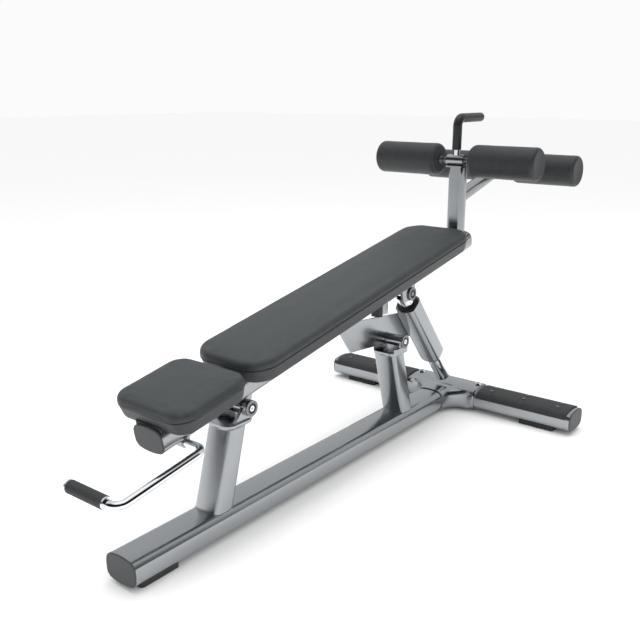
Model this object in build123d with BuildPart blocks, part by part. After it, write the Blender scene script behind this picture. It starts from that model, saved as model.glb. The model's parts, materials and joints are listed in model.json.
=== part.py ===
from build123d import *
import math
import os

# Decline sit-up bench. X runs from the head end to the foot end, Y to the left, Z up.
# The origin is on the floor, at the middle of the whole outline. Lengths are in millimetres.

# ---- driving dimensions -------------------------------------------------------------------
HEAD_X = -888.0  # front face of the floor beam; every station below is measured from here
TUBE_WIDTH, TUBE_HEIGHT, TUBE_WALL = 101.0, 71.0, 3.0  # floor beam section
TUBE_Z = 45.0  # height of the floor beam's centre line
FLOOR_GAP = TUBE_Z - TUBE_HEIGHT / 2  # rubber feet fill this gap
CORNER = 21.0  # outer corner radius of the base and bench tubes
BEAM_WIDTH, BEAM_HEIGHT = 96.0, 67.0  # bench beam section
INCLINE = 10.4  # slope of the bench at its lowest setting, degrees
BEAM_X, BEAM_Z = HEAD_X + 100.5, 326.0  # centre of the bench beam's front face
BEAM_LENGTH = 1432.0
CAP = 4.0  # visible thickness of an end cap
CAP_PLUG = 16.0  # length of a cap's tongue inside its tube

CROSS_X, CROSS_HALF = HEAD_X + 1472.0, 471.0
CROSS_WIDTH, CROSS_HEIGHT = 105.0, 67.0
SADDLE_HALF, SADDLE_WALL = 130.0, 6.0
PAD_IN, PAD_OUT = 139.0, 459.0  # step pads, distances from the middle
FOOT_IN, FOOT_OUT = 293.0, 414.0  # rear rubber feet

POST_WIDTH, POST_DEPTH = 82.0, 71.0
POST_LEAN = 15.5  # both posts lean towards each other
POST_TOP = 283.0
FRONT_PIVOT = (HEAD_X + 393.0, 320.0)
MID_PIVOT = (HEAD_X + 1098.0, 321.0)
STRUT_PIVOT = (HEAD_X + 1145.0, 465.0)
STRUT_ANGLE = 39.0  # strut's lean from the vertical
PIN_RADIUS, RING_RADIUS, RING_THICK = 8.0, 21.0, 5.0
RUNNING = 0.05  # radial clearance of a running fit
SIDE_GAP = 0.4  # clearance between faces that slide past each other

SLEEVE_START, SLEEVE_END = 59.0, 344.0  # along the strut, from its top pivot
SLEEVE_WIDTH, SLEEVE_DEPTH, SLEEVE_CORNER = 72.0, 76.0, 22.0
CHROME_RADIUS, CHROME_END = 25.0, 458.0
SLOT_TRAVEL = 15.0  # free play of the strut's top pin in its slotted ears

PAD_HALF, PAD_CORNER = 122.5, 48.0
PAD_TOP, PAD_SEAM, PAD_BASE = 86.4, 61.0, 23.0  # heights above the bench beam's centre line
PAD_RECESS = 36.6  # underside of the pad over the beam
HEAD_PAD = (4.0, 234.0)  # start and end along the bench beam
BACK_PAD = (260.0, 1316.0)

ROLLER_RADIUS, ROLLER_IN, ROLLER_OUT = 54.0, 59.0, 292.0
AXLE_RADIUS = 10.0
FRONT_AXLE = (HEAD_X + 1463.0, 855.0)
REAR_AXLE = (HEAD_X + 1796.0, 810.0)
ROLLER_POST_X, ROLLER_POST = HEAD_X + 1478.0, 54.0
POST_HEAD = 833.0  # top of the roller post's full section
HANDLE_TOP, HANDLE_REACH = 1006.0, HEAD_X + 1640.0

LEVER_PIVOT = (HEAD_X + 192.0, 294.0)
LEVER_SIDE = -85.0
GRIP_X, GRIP_Z = HEAD_X - 58.0, 252.0
GRIP_IN, GRIP_OUT = 47.0, 75.0  # ends of the grip right and left of the middle
BAR_RADIUS, GRIP_RADIUS = 10.0, 16.0

os.makedirs("parts", exist_ok=True)


def save(piece, label):
    """Labels a finished piece and writes it under its node's name."""
    piece.part.label = label
    export_step(piece.part, f"parts/{label}.step")


# ---- shared profiles and planes -------------------------------------------------------------
def barrel(width, height, corner=CORNER):
    """Tube outline: a rounded rectangle with crowned top and bottom and slightly full sides."""
    across, up = width / 2, height / 2
    side, crown = across - 0.03 * width, up - 0.11 * height
    with BuildSketch() as outline:
        with BuildLine():
            ThreePointArc((-side, crown), (0, up), (side, crown))
            ThreePointArc((side, crown), (across, 0), (side, -crown))
            ThreePointArc((side, -crown), (0, -up), (-side, -crown))
            ThreePointArc((-side, -crown), (-across, 0), (-side, crown))
        make_face()
        fillet(outline.vertices(), corner)
    return outline.sketch


def tube_profile(width, height, wall, corner=CORNER):
    """Hollow barrel tube section."""
    with BuildSketch() as section:
        add(barrel(width, height, corner))
        add(barrel(width - 2 * wall, height - 2 * wall, corner - wall), mode=Mode.SUBTRACT)
    return section.sketch


def tilted(angle):
    """Unit vector along X, raised by an angle."""
    return (math.cos(math.radians(angle)), 0, math.sin(math.radians(angle)))


ALONG = tilted(INCLINE)
NORMAL = tilted(INCLINE + 90)
BEAM_START = Vector(BEAM_X, 0, BEAM_Z)


def on_beam(distance, height=0.0, across=0.0):
    """Point at a distance along the bench beam and a height above its centre line."""
    return BEAM_START + Vector(*ALONG) * distance + Vector(*NORMAL) * height + Vector(0, across, 0)


def beam_section(distance):
    """Plane square to the bench beam; its X runs to the left and its Y points up."""
    return Plane(on_beam(distance), x_dir=(0, 1, 0), z_dir=ALONG)


def pad_plane(height):
    """Plane of the lying surface at a height above the beam's centre line."""
    return Plane(on_beam(0, height), x_dir=ALONG, z_dir=NORMAL)


def side_plane(across):
    """Upright plane facing right, so a sketch's X is the bench's X and its Y is Z."""
    return Plane((0, across, 0), x_dir=(1, 0, 0), z_dir=(0, -1, 0))


DOWN_STRUT = tilted(STRUT_ANGLE - 90)
STRUT_BACK = tilted(STRUT_ANGLE)


def strut_point(distance, back=0.0):
    """Point at a distance down the strut's centre line, and behind it."""
    top = Vector(STRUT_PIVOT[0], 0, STRUT_PIVOT[1])
    return top + Vector(*DOWN_STRUT) * distance + Vector(*STRUT_BACK) * back


def strut_section(distance):
    """Plane square to the strut; its X runs to the left and its Z down the strut."""
    return Plane(strut_point(distance), x_dir=(0, 1, 0), z_dir=DOWN_STRUT)


FLOOR_SECTION = Plane((HEAD_X, 0, TUBE_Z), x_dir=(0, 1, 0), z_dir=(1, 0, 0))


# ---- solid outlines of the three main tubes, used to cope whatever is welded to them ------------
BEAM_END = CROSS_X - CROSS_WIDTH / 2 - 2.0 - HEAD_X  # floor beam stops just short of the cross tube
CROSS_PLANE = Plane((CROSS_X, -CROSS_HALF, TUBE_Z), x_dir=(1, 0, 0), z_dir=(0, 1, 0))

with BuildPart() as floor_outline:
    with BuildSketch(FLOOR_SECTION):
        add(barrel(TUBE_WIDTH, TUBE_HEIGHT))
    extrude(amount=BEAM_END)

with BuildPart() as cross_outline:
    with BuildSketch(CROSS_PLANE):
        add(barrel(CROSS_WIDTH, CROSS_HEIGHT))
    extrude(amount=2 * CROSS_HALF)

with BuildPart() as bench_outline:
    with BuildSketch(beam_section(-20.0)):
        add(barrel(BEAM_WIDTH, BEAM_HEIGHT))
    extrude(amount=BEAM_LENGTH + 40.0)

# ---- base: floor beam and cross foot ------------------------------------------------------------

with BuildPart() as floor_beam:
    with BuildSketch(FLOOR_SECTION.offset(CAP)):
        add(tube_profile(TUBE_WIDTH, TUBE_HEIGHT, TUBE_WALL))
    extrude(amount=BEAM_END - CAP)
save(floor_beam, "floor_beam")


def end_cap(plane, width, height, wall):
    """Moulded cap: a face plate flush with the tube and a tongue inside it. Plane Z points inwards."""
    with BuildPart() as cap:
        with BuildSketch(plane):
            add(barrel(width, height))
        extrude(amount=CAP)
        face_edges = cap.faces().sort_by(Axis(plane.origin, plane.z_dir))[0].edges()
        fillet(face_edges, 2.5)
        with BuildSketch(plane.offset(CAP)):
            add(barrel(width - 2 * wall, height - 2 * wall, CORNER - wall))
        extrude(amount=CAP_PLUG)
    return cap.part


with BuildPart() as floor_beam_cap:
    add(end_cap(FLOOR_SECTION, TUBE_WIDTH, TUBE_HEIGHT, TUBE_WALL))
save(floor_beam_cap, "floor_beam_cap")

FRONT_FOOT_SIZE = (116.0, 80.0)
FOOT_LIP = 14.0  # the feet hug the tubes this far up their sides
with BuildPart() as front_foot:
    with BuildSketch(Plane((HEAD_X + 83.0, 0, 0))):
        RectangleRounded(*FRONT_FOOT_SIZE, 10.0)
    extrude(amount=FLOOR_GAP + FOOT_LIP)
    add(floor_outline.part, mode=Mode.SUBTRACT)
    foot_rim = front_foot.faces().sort_by(Axis.Z)[0].edges()
    fillet(foot_rim, 2.0)
save(front_foot, "front_foot")

with BuildPart() as cross_tube:
    with BuildSketch(CROSS_PLANE):
        add(tube_profile(CROSS_WIDTH, CROSS_HEIGHT, TUBE_WALL))
    extrude(amount=2 * CROSS_HALF)
save(cross_tube, "cross_tube")

for side, label in ((-1, "cross_cap_right"), (1, "cross_cap_left")):
    outer_face = Plane((CROSS_X, side * (CROSS_HALF + CAP), TUBE_Z), x_dir=(1, 0, 0), z_dir=(0, -side, 0))
    with BuildPart() as cross_cap:
        add(end_cap(outer_face, CROSS_WIDTH, CROSS_HEIGHT, TUBE_WALL))
    save(cross_cap, label)

SADDLE_START = Plane((CROSS_X, -SADDLE_HALF, TUBE_Z), x_dir=(1, 0, 0), z_dir=(0, 1, 0))
# The neck widens from the floor beam to the saddle along two concave quarter rounds.
NECK_END, NECK_RADIUS, NECK_COVER = CROSS_X - 56.0, 74.0, 6.0
NECK_STEPS = 6
with BuildPart() as cross_saddle:
    with BuildSketch(SADDLE_START):
        add(barrel(CROSS_WIDTH + 2 * SADDLE_WALL, CROSS_HEIGHT + 2 * SADDLE_WALL, CORNER + SADDLE_WALL))
    extrude(amount=2 * SADDLE_HALF)
    rims = cross_saddle.faces().sort_by(Axis.Y)
    chamfer(rims[0].edges() + rims[-1].edges(), 3.0)
    for step in range(NECK_STEPS + 1):
        turn = math.radians(90.0 * step / NECK_STEPS)
        flare = NECK_RADIUS * (1 - math.cos(turn))
        station = NECK_END - NECK_RADIUS * (1 - math.sin(turn))
        with BuildSketch(Plane((station, 0, TUBE_Z), x_dir=(0, 1, 0), z_dir=(1, 0, 0))):
            add(barrel(TUBE_WIDTH + NECK_COVER + 2 * flare, TUBE_HEIGHT + NECK_COVER, CORNER + NECK_COVER / 2))
    loft()
    add(floor_outline.part, mode=Mode.SUBTRACT)
    add(cross_outline.part, mode=Mode.SUBTRACT)
save(cross_saddle, "cross_saddle")

SCREW_SPAN = 114.0
SADDLE_TOP = TUBE_Z + CROSS_HEIGHT / 2 + SADDLE_WALL
with BuildPart() as saddle_screws:
    for side in (-1, 1):
        with BuildSketch(Plane((CROSS_X + 8.0, side * SCREW_SPAN, SADDLE_TOP - 0.3))):
            Circle(11.0)
        extrude(amount=6.0, taper=12)
    tops = saddle_screws.faces().filter_by(Axis.Z).group_by(Axis.Z)[-1]
    for top in tops:
        with BuildSketch(Plane(top.center())):
            RegularPolygon(5.0, 6)
        extrude(amount=-3.0, mode=Mode.SUBTRACT)
    with BuildSketch(CROSS_PLANE):
        add(barrel(CROSS_WIDTH + 2 * SADDLE_WALL, CROSS_HEIGHT + 2 * SADDLE_WALL, CORNER + SADDLE_WALL))
    extrude(amount=2 * CROSS_HALF, mode=Mode.SUBTRACT)
save(saddle_screws, "saddle_screws")

# Step pads: moulded rubber shells that hug the top of the cross tube, with round studs let in.
STEP_THICK, STEP_WRAP = 4.0, 12.0
STUD_ROWS, STUD_STEP, STUD_PITCH, STUD_RADIUS = 3, 118.0, 36.0, 6.0
STUD_LOW = TUBE_Z + CROSS_HEIGHT / 2 + 1.5
with BuildPart() as step_pad_studs:
    for side in (-1, 1):
        for row in range(STUD_ROWS):
            for offset in (-STUD_PITCH / 2, STUD_PITCH / 2):
                across = side * ((PAD_IN + PAD_OUT) / 2 + (row - 1) * STUD_STEP)
                with BuildSketch(Plane((CROSS_X + offset, across, STUD_LOW))):
                    Circle(STUD_RADIUS)
                extrude(amount=STEP_THICK)
    fillet(step_pad_studs.faces().filter_by(Axis.Z).group_by(Axis.Z)[-1].edges(), 0.8)
save(step_pad_studs, "step_pad_studs")

for side, label in ((-1, "step_pad_right"), (1, "step_pad_left")):
    with BuildPart() as step_pad:
        with BuildSketch(Plane((CROSS_X, side * PAD_IN, TUBE_Z), x_dir=(1, 0, 0), z_dir=(0, side, 0))):
            add(barrel(CROSS_WIDTH + 2 * STEP_THICK, CROSS_HEIGHT + 2 * STEP_THICK, CORNER + STEP_THICK))
            add(barrel(CROSS_WIDTH, CROSS_HEIGHT), mode=Mode.SUBTRACT)
        extrude(amount=PAD_OUT - PAD_IN)
        with BuildSketch(Plane((CROSS_X, side * (PAD_IN + PAD_OUT) / 2, TUBE_Z + STEP_WRAP))):
            Rectangle(CROSS_WIDTH + 30.0, PAD_OUT - PAD_IN + 10.0)
        extrude(amount=-CROSS_HEIGHT, mode=Mode.SUBTRACT)
        add(step_pad_studs.part, mode=Mode.SUBTRACT)
    save(step_pad, label)

RIBS, RIB_PITCH = 9, 12.5
FOOT_DEPTH = 80.0
for side, label in ((-1, "rear_foot_right"), (1, "rear_foot_left")):
    middle = side * (FOOT_IN + FOOT_OUT) / 2
    with BuildPart() as rear_foot:
        with BuildSketch(Plane((CROSS_X, middle, 0))):
            RectangleRounded(FOOT_DEPTH, FOOT_OUT - FOOT_IN, 8.0)
        extrude(amount=FLOOR_GAP + FOOT_LIP)
        for rib in range(RIBS):
            groove = middle + (rib - (RIBS - 1) / 2) * RIB_PITCH
            for edge in (-FOOT_DEPTH / 2, FOOT_DEPTH / 2):
                with BuildSketch(Plane((CROSS_X + edge, groove, 0))):
                    Rectangle(6.0, 5.0)
                extrude(amount=FLOOR_GAP + FOOT_LIP, mode=Mode.SUBTRACT)
        add(cross_outline.part, mode=Mode.SUBTRACT)
    save(rear_foot, label)


# ---- posts and forks --------------------------------------------------------------------------
def post(foot_x, lean, label):
    """Leaning barrel post, coped over the floor beam and cut level on top."""
    axis = tilted(90 - lean)
    start = Vector(foot_x, 0, TUBE_Z)
    with BuildPart() as column:
        with BuildSketch(Plane(start, x_dir=(0, 1, 0), z_dir=axis)):
            add(tube_profile(POST_WIDTH, POST_DEPTH, TUBE_WALL, 14.0))
        extrude(amount=POST_TOP)
        add(floor_outline.part, mode=Mode.SUBTRACT)
        split(bisect_by=Plane((0, 0, POST_TOP)), keep=Keep.BOTTOM)
        split(bisect_by=Plane((0, 0, TUBE_Z)), keep=Keep.TOP)
    save(column, label)


FRONT_FOOT_X, MID_FOOT_X = HEAD_X + 286.0, HEAD_X + 1145.0
post(FRONT_FOOT_X, POST_LEAN, "front_post")
post(MID_FOOT_X, -POST_LEAN, "mid_post")

LEAN_RUN = math.tan(math.radians(POST_LEAN)) * (POST_TOP - TUBE_Z)
FRONT_TOP_X, MID_TOP_X = FRONT_FOOT_X + LEAN_RUN, MID_FOOT_X - LEAN_RUN
HUB_HALF = 26.0  # half width of the front hub between the fork's ears
EAR_THICK, EAR_RADIUS = 10.0, 20.5
BOSS_OUT = 42.0  # outer face of the front fork's bosses
BASE_THICK = 8.0
PLATE_LENGTH, PLATE_SHIFT = 94.0, 9.0  # fork plates cover the whole top of each post


with BuildPart() as front_fork:
    with BuildSketch(Plane((FRONT_TOP_X + PLATE_SHIFT, 0, POST_TOP))):
        RectangleRounded(PLATE_LENGTH, POST_WIDTH + 2.0, 24.0)
    extrude(amount=BASE_THICK)
    for side in (-1, 1):
        inner, outer = side * HUB_HALF, side * (HUB_HALF + EAR_THICK)
        low, high = sorted((inner, outer))
        with BuildSketch(side_plane(high)):
            with Locations(FRONT_PIVOT):
                Circle(EAR_RADIUS)
            with BuildLine():
                Polyline(
                    (FRONT_TOP_X - 14.0, POST_TOP + 2.0),
                    (FRONT_TOP_X + 51.0, POST_TOP + 2.0),
                    (FRONT_PIVOT[0] + EAR_RADIUS - 0.6, FRONT_PIVOT[1] - 5.0),
                    (FRONT_PIVOT[0] - EAR_RADIUS + 0.6, FRONT_PIVOT[1] + 5.0),
                    close=True,
                )
            make_face()
        extrude(amount=high - low)
        low, high = sorted((outer, side * BOSS_OUT))
        with BuildSketch(side_plane(high)):
            with Locations(FRONT_PIVOT):
                Circle(EAR_RADIUS)
        extrude(amount=high - low)
    with BuildSketch(side_plane(BOSS_OUT + 1)):
        with Locations(FRONT_PIVOT):
            Circle(PIN_RADIUS)
    extrude(amount=2 * BOSS_OUT + 2, mode=Mode.SUBTRACT)
save(front_fork, "front_fork")

MID_HALF = 38.0  # half width of the rocker hub between the mid fork's ears
MID_EAR = 6.0
MID_RADIUS = 18.0
MID_CHEEK = 20.0  # height of the fork's side cheeks over the post
with BuildPart() as mid_fork:
    with BuildSketch(Plane((MID_TOP_X + PLATE_SHIFT, 0, POST_TOP))):
        RectangleRounded(PLATE_LENGTH, 2 * (MID_HALF + MID_EAR), 24.0)
    extrude(amount=MID_CHEEK)
    with BuildSketch(side_plane(MID_HALF)):
        with Locations((MID_TOP_X + PLATE_SHIFT, POST_TOP + BASE_THICK + MID_CHEEK)):
            Rectangle(PLATE_LENGTH + 10.0, 2 * MID_CHEEK)
    extrude(amount=2 * MID_HALF, mode=Mode.SUBTRACT)
    for side in (-1, 1):
        low, high = sorted((side * MID_HALF, side * (MID_HALF + MID_EAR)))
        with BuildSketch(side_plane(high)):
            with Locations(MID_PIVOT):
                Circle(MID_RADIUS)
            with BuildLine():
                Polyline(
                    (MID_TOP_X - 2.0, POST_TOP + 8.0),
                    (MID_TOP_X + 40.0, POST_TOP + 8.0),
                    (MID_PIVOT[0] + MID_RADIUS - 0.6, MID_PIVOT[1] - 4.0),
                    (MID_PIVOT[0] - MID_RADIUS + 0.6, MID_PIVOT[1] + 4.0),
                    close=True,
                )
            make_face()
        extrude(amount=high - low)
    with BuildSketch(side_plane(60.0)):
        with Locations(MID_PIVOT):
            Circle(PIN_RADIUS)
    extrude(amount=120.0, mode=Mode.SUBTRACT)
save(mid_fork, "mid_fork")

PIVOT_FACES = ((FRONT_PIVOT, BOSS_OUT), (MID_PIVOT, MID_HALF + MID_EAR))
HEAD_ACROSS, HEAD_THICK = 8.5, 3.5
RECESS_RADIUS, RECESS_DEPTH = 13.5, 3.5
with BuildPart() as pivot_rings:
    for pivot, face in PIVOT_FACES:
        for side in (-1, 1):
            low, high = sorted((side * face, side * (face + RING_THICK)))
            with BuildSketch(side_plane(high)):
                with Locations(pivot):
                    Circle(RING_RADIUS)
                    Circle(PIN_RADIUS, mode=Mode.SUBTRACT)
            extrude(amount=high - low)
            recess = side * (face + RING_THICK - RECESS_DEPTH)
            low, high = sorted((recess, side * (face + RING_THICK)))
            with BuildSketch(side_plane(high)):
                with Locations(pivot):
                    Circle(RECESS_RADIUS)
            extrude(amount=high - low, mode=Mode.SUBTRACT)
save(pivot_rings, "pivot_rings")

with BuildPart() as pivot_pins:
    for pivot, face in PIVOT_FACES:
        reach = face + RING_THICK - RECESS_DEPTH
        with BuildSketch(side_plane(reach)):
            with Locations(pivot):
                Circle(PIN_RADIUS)
        extrude(amount=2 * reach)
        for side in (-1, 1):
            low, high = sorted((side * reach, side * (reach + HEAD_THICK)))
            with BuildSketch(side_plane(high)):
                with Locations(pivot):
                    RegularPolygon(HEAD_ACROSS, 6)
                    Circle(3.0, mode=Mode.SUBTRACT)
            extrude(amount=high - low)
save(pivot_pins, "pivot_pins")

# ---- bench beam -----------------------------------------------------------------------------------
with BuildPart() as bench_beam:
    with BuildSketch(beam_section(CAP)):
        add(tube_profile(BEAM_WIDTH, BEAM_HEIGHT, TUBE_WALL))
    extrude(amount=BEAM_LENGTH - 2 * CAP)
save(bench_beam, "bench_beam")

REAR_FACE = Plane(on_beam(BEAM_LENGTH), x_dir=(0, 1, 0), z_dir=(-ALONG[0], 0, -ALONG[2]))
with BuildPart() as bench_end_caps:
    add(end_cap(beam_section(0), BEAM_WIDTH, BEAM_HEIGHT, TUBE_WALL))
    add(end_cap(REAR_FACE, BEAM_WIDTH, BEAM_HEIGHT, TUBE_WALL))
save(bench_end_caps, "bench_end_caps")


BUSH_RADIUS, HUB_RADIUS = 12.0, 20.0
HUB_WIDTH = HUB_HALF - SIDE_GAP
with BuildPart() as front_hub:
    with BuildSketch(side_plane(HUB_WIDTH)):
        with Locations(FRONT_PIVOT):
            Circle(HUB_RADIUS)
        with BuildLine():
            Polyline(
                (FRONT_PIVOT[0] - HUB_RADIUS + 0.5, FRONT_PIVOT[1] + 4.0),
                (FRONT_PIVOT[0] + HUB_RADIUS - 0.5, FRONT_PIVOT[1] + 4.0),
                (FRONT_PIVOT[0] + 30.0, FRONT_PIVOT[1] + 60.0),
                (FRONT_PIVOT[0] - 40.0, FRONT_PIVOT[1] + 60.0),
                close=True,
            )
        make_face()
        with Locations(FRONT_PIVOT):
            Circle(BUSH_RADIUS, mode=Mode.SUBTRACT)
    extrude(amount=2 * HUB_WIDTH)
    add(bench_outline.part, mode=Mode.SUBTRACT)
save(front_hub, "front_hub")

with BuildPart() as front_hub_bushes:
    for side in (-1, 1):
        low, high = sorted((side * 6.0, side * HUB_WIDTH))
        with BuildSketch(side_plane(high)):
            with Locations(FRONT_PIVOT):
                Circle(BUSH_RADIUS)
                Circle(PIN_RADIUS + RUNNING, mode=Mode.SUBTRACT)
        extrude(amount=high - low)
save(front_hub_bushes, "front_hub_bushes")

# ---- pads -----------------------------------------------------------------------------------------
SHELL_TAPER = 15.0


def pad_outline(span, half, corner):
    """Plan of a pad with large corner radii, centred along its span."""
    with BuildSketch() as plan:
        with Locations(((span[0] + span[1]) / 2, 0)):
            RectangleRounded(span[1] - span[0], 2 * half, corner)
    return plan.sketch


def pad(span, corner, name):
    """One pad: a padded top cushion and the moulded shell under it."""
    with BuildPart() as cushion:
        with BuildSketch(pad_plane(PAD_SEAM + SIDE_GAP / 2)):
            add(pad_outline(span, PAD_HALF, corner))
        extrude(amount=PAD_TOP - PAD_SEAM - SIDE_GAP / 2)
        crown = cushion.faces().sort_by(Axis(on_beam(0), NORMAL))[-1].edges()
        fillet(crown, 16.0)
    save(cushion, f"{name}_cushion")
    with BuildPart() as shell:
        with BuildSketch(pad_plane(PAD_SEAM)):
            add(pad_outline(span, PAD_HALF - 1.5, corner - 1.5))
        extrude(amount=PAD_BASE - PAD_SEAM, taper=SHELL_TAPER)
        base_rim = shell.faces().sort_by(Axis(on_beam(0), NORMAL))[0].edges()
        fillet(base_rim, 8.0)
        with BuildSketch(beam_section(span[0] - 10.0)):
            with Locations((0, PAD_BASE + (PAD_RECESS - PAD_BASE) / 2)):
                Rectangle(BEAM_WIDTH + 4.0, PAD_RECESS - PAD_BASE)
        extrude(amount=span[1] - span[0] + 20.0, mode=Mode.SUBTRACT)
        add(bench_outline.part, mode=Mode.SUBTRACT)
    save(shell, f"{name}_shell")


pad(HEAD_PAD, PAD_CORNER, "head_pad")
pad(BACK_PAD, PAD_CORNER + 20.0, "back_pad")

# Ribbed strips packed between the beam and the pads.
STRIP_TEETH, TOOTH_PITCH = 12, 6.0
with BuildPart() as pad_spacers:
    for start, end in ((HEAD_PAD[0] + 4.0, HEAD_PAD[1] - 14.0), (BACK_PAD[0] + 14.0, BACK_PAD[1] - 14.0)):
        with BuildSketch(beam_section(start)):
            with Locations((0, PAD_RECESS - 8.0)):
                Rectangle(82.0, 16.0)
            with Locations((0, PAD_RECESS - 8.0)):
                with GridLocations(TOOTH_PITCH, 1, STRIP_TEETH, 1):
                    Rectangle(2.4, 17.0, mode=Mode.SUBTRACT)
            with Locations((0, PAD_RECESS - 9.5)):
                Rectangle(82.0, 16.0)
        extrude(amount=end - start)
    add(bench_outline.part, mode=Mode.SUBTRACT)
save(pad_spacers, "pad_spacers")

# ---- strut bracket and stop under the bench beam ---------------------------------------------------
EAR_IN, EAR_OUT = 28.0, 36.0
SLOT_RADIUS = 8.0
STRUT_PIN = 7.0
SLOT_SLOPE = 6.0  # the slot points a little below the bench's line
# Rubber stop under the beam, and the painted block it leans on.
STOP_X, STOP_LOW, STOP_SIDE = HEAD_X + 1041.0, 400.0, 44.0
STOP_LENGTH, BLOCK_LENGTH, STOP_WIDTH, STOP_REACH = 22.0, 30.0, 28.0, 90.0
slot_run = (
    -SLOT_TRAVEL * math.cos(math.radians(INCLINE + SLOT_SLOPE)),
    -SLOT_TRAVEL * math.sin(math.radians(INCLINE + SLOT_SLOPE)),
)
with BuildPart() as strut_bracket:
    for side in (-1, 1):
        low, high = sorted((side * EAR_IN, side * EAR_OUT))
        with BuildSketch(side_plane(high)):
            with BuildLine():
                Polyline(
                    (STRUT_PIVOT[0] - 60.0, STRUT_PIVOT[1] + 40.0),
                    (STRUT_PIVOT[0] - 44.0, STRUT_PIVOT[1] - 22.0),
                    (STRUT_PIVOT[0] + 4.0, STRUT_PIVOT[1] - 19.0),
                    (STRUT_PIVOT[0] + 19.0, STRUT_PIVOT[1] - 2.0),
                    (STRUT_PIVOT[0] + 22.0, STRUT_PIVOT[1] + 50.0),
                    close=True,
                )
            make_face()
            with Locations((STRUT_PIVOT[0] + slot_run[0] / 2, STRUT_PIVOT[1] + slot_run[1] / 2)):
                SlotCenterToCenter(
                    SLOT_TRAVEL, 2 * SLOT_RADIUS, rotation=INCLINE + SLOT_SLOPE, mode=Mode.SUBTRACT
                )
        extrude(amount=high - low)
    with BuildSketch(side_plane(STOP_SIDE)):
        with BuildLine():
            Polyline(
                (STOP_X + STOP_LENGTH, STOP_LOW + 5.0),
                (STOP_X + STOP_LENGTH + BLOCK_LENGTH, STOP_LOW + 3.0),
                (STOP_X + STOP_LENGTH + BLOCK_LENGTH, STOP_LOW + STOP_REACH),
                (STOP_X + STOP_LENGTH, STOP_LOW + STOP_REACH),
                close=True,
            )
        make_face()
    extrude(amount=STOP_WIDTH)
    add(bench_outline.part, mode=Mode.SUBTRACT)
save(strut_bracket, "strut_bracket")

# At the lowest setting the stop rests on the rocker plate.
with BuildPart() as bump_stop:
    with BuildSketch(side_plane(STOP_SIDE)):
        with BuildLine():
            Polyline(
                (STOP_X, STOP_LOW + 0.8),
                (STOP_X + STOP_LENGTH, STOP_LOW - 1.4),
                (STOP_X + STOP_LENGTH, STOP_LOW + STOP_REACH),
                (STOP_X, STOP_LOW + STOP_REACH),
                close=True,
            )
        make_face()
    extrude(amount=STOP_WIDTH)
    add(bench_outline.part, mode=Mode.SUBTRACT)
save(bump_stop, "bump_stop")

# ---- strut: sleeve, bush, rocker and chrome tube ---------------------------------------------------
# Spring latch on the back of the sleeve; its pin rides in the chrome tube's keyway.
LATCH_AT = 250.0
LATCH_PLANE = Plane(strut_point(LATCH_AT), x_dir=(0, 1, 0), z_dir=STRUT_BACK)
LATCH_BOSS, LATCH_PIN, LATCH_FACE = 11.0, 5.0, SLEEVE_DEPTH / 2
KEYWAY_DEPTH = 3.0
BORE_RADIUS = 32.0  # the sleeve's bore; the bush fills it down to the chrome tube
BUSH_DEPTH = 30.0
with BuildPart() as strut_sleeve:
    with BuildSketch(strut_section(SLEEVE_START)):
        add(barrel(SLEEVE_WIDTH, SLEEVE_DEPTH, SLEEVE_CORNER))
    extrude(amount=SLEEVE_END - SLEEVE_START)
    ends = strut_sleeve.faces().sort_by(Axis(strut_point(0), DOWN_STRUT))
    fillet(ends[-1].edges(), 22.0)
    with BuildSketch(strut_section(SLEEVE_START)):
        Circle(BORE_RADIUS)
    extrude(amount=SLEEVE_END - SLEEVE_START - 14.0, mode=Mode.SUBTRACT)
    with BuildSketch(strut_section(SLEEVE_END - 20.0)):
        Circle(CHROME_RADIUS + 1.5)
    extrude(amount=30.0, mode=Mode.SUBTRACT)
    with BuildSketch(LATCH_PLANE):
        Circle(LATCH_BOSS)
    extrude(amount=SLEEVE_DEPTH, mode=Mode.SUBTRACT)
save(strut_sleeve, "strut_sleeve")

with BuildPart() as sleeve_bush:
    with BuildSketch(strut_section(SLEEVE_START - 4.0)):
        Circle(BORE_RADIUS + 3.0)
    extrude(amount=4.0)
    fillet(sleeve_bush.edges(), 1.5)
    with BuildSketch(strut_section(SLEEVE_START)):
        Circle(BORE_RADIUS)
    extrude(amount=BUSH_DEPTH)
    with BuildSketch(strut_section(SLEEVE_START - 10.0)):
        Circle(CHROME_RADIUS + RUNNING)
    extrude(amount=BUSH_DEPTH + 20.0, mode=Mode.SUBTRACT)
save(sleeve_bush, "sleeve_bush")

ROCKER_HUB = 17.5
with BuildPart() as rocker_hub:
    with BuildSketch(side_plane(MID_HALF - SIDE_GAP)):
        with Locations(MID_PIVOT):
            Circle(ROCKER_HUB)
            Circle(PIN_RADIUS + RUNNING, mode=Mode.SUBTRACT)
    extrude(amount=2 * (MID_HALF - SIDE_GAP))
save(rocker_hub, "rocker_hub")

PLATE_IN, PLATE_OUT = 25.0, 33.0
with BuildPart() as rocker_plate:
    with BuildSketch(side_plane(PLATE_OUT)):
        with BuildLine():
            Polyline(
                (HEAD_X + 912.0, 318.0),
                (HEAD_X + 852.0, 397.0),
                (HEAD_X + 868.0, 415.0),
                (HEAD_X + 1010.0, 402.0),
                (HEAD_X + 1196.0, 383.5),
                (HEAD_X + 1270.0, 289.0),
                (HEAD_X + 1150.0, 307.0),
                (HEAD_X + 1040.0, 307.0),
                close=True,
            )
        make_face()
        with Locations(MID_PIVOT):
            Circle(ROCKER_HUB + 8.5)
            Circle(ROCKER_HUB, mode=Mode.SUBTRACT)
    extrude(amount=PLATE_OUT - PLATE_IN)
    with BuildSketch(strut_section(SLEEVE_START - 20.0)):
        add(barrel(SLEEVE_WIDTH, SLEEVE_DEPTH, SLEEVE_CORNER))
    extrude(amount=SLEEVE_END - SLEEVE_START, mode=Mode.SUBTRACT)
save(rocker_plate, "rocker_plate")

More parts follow.
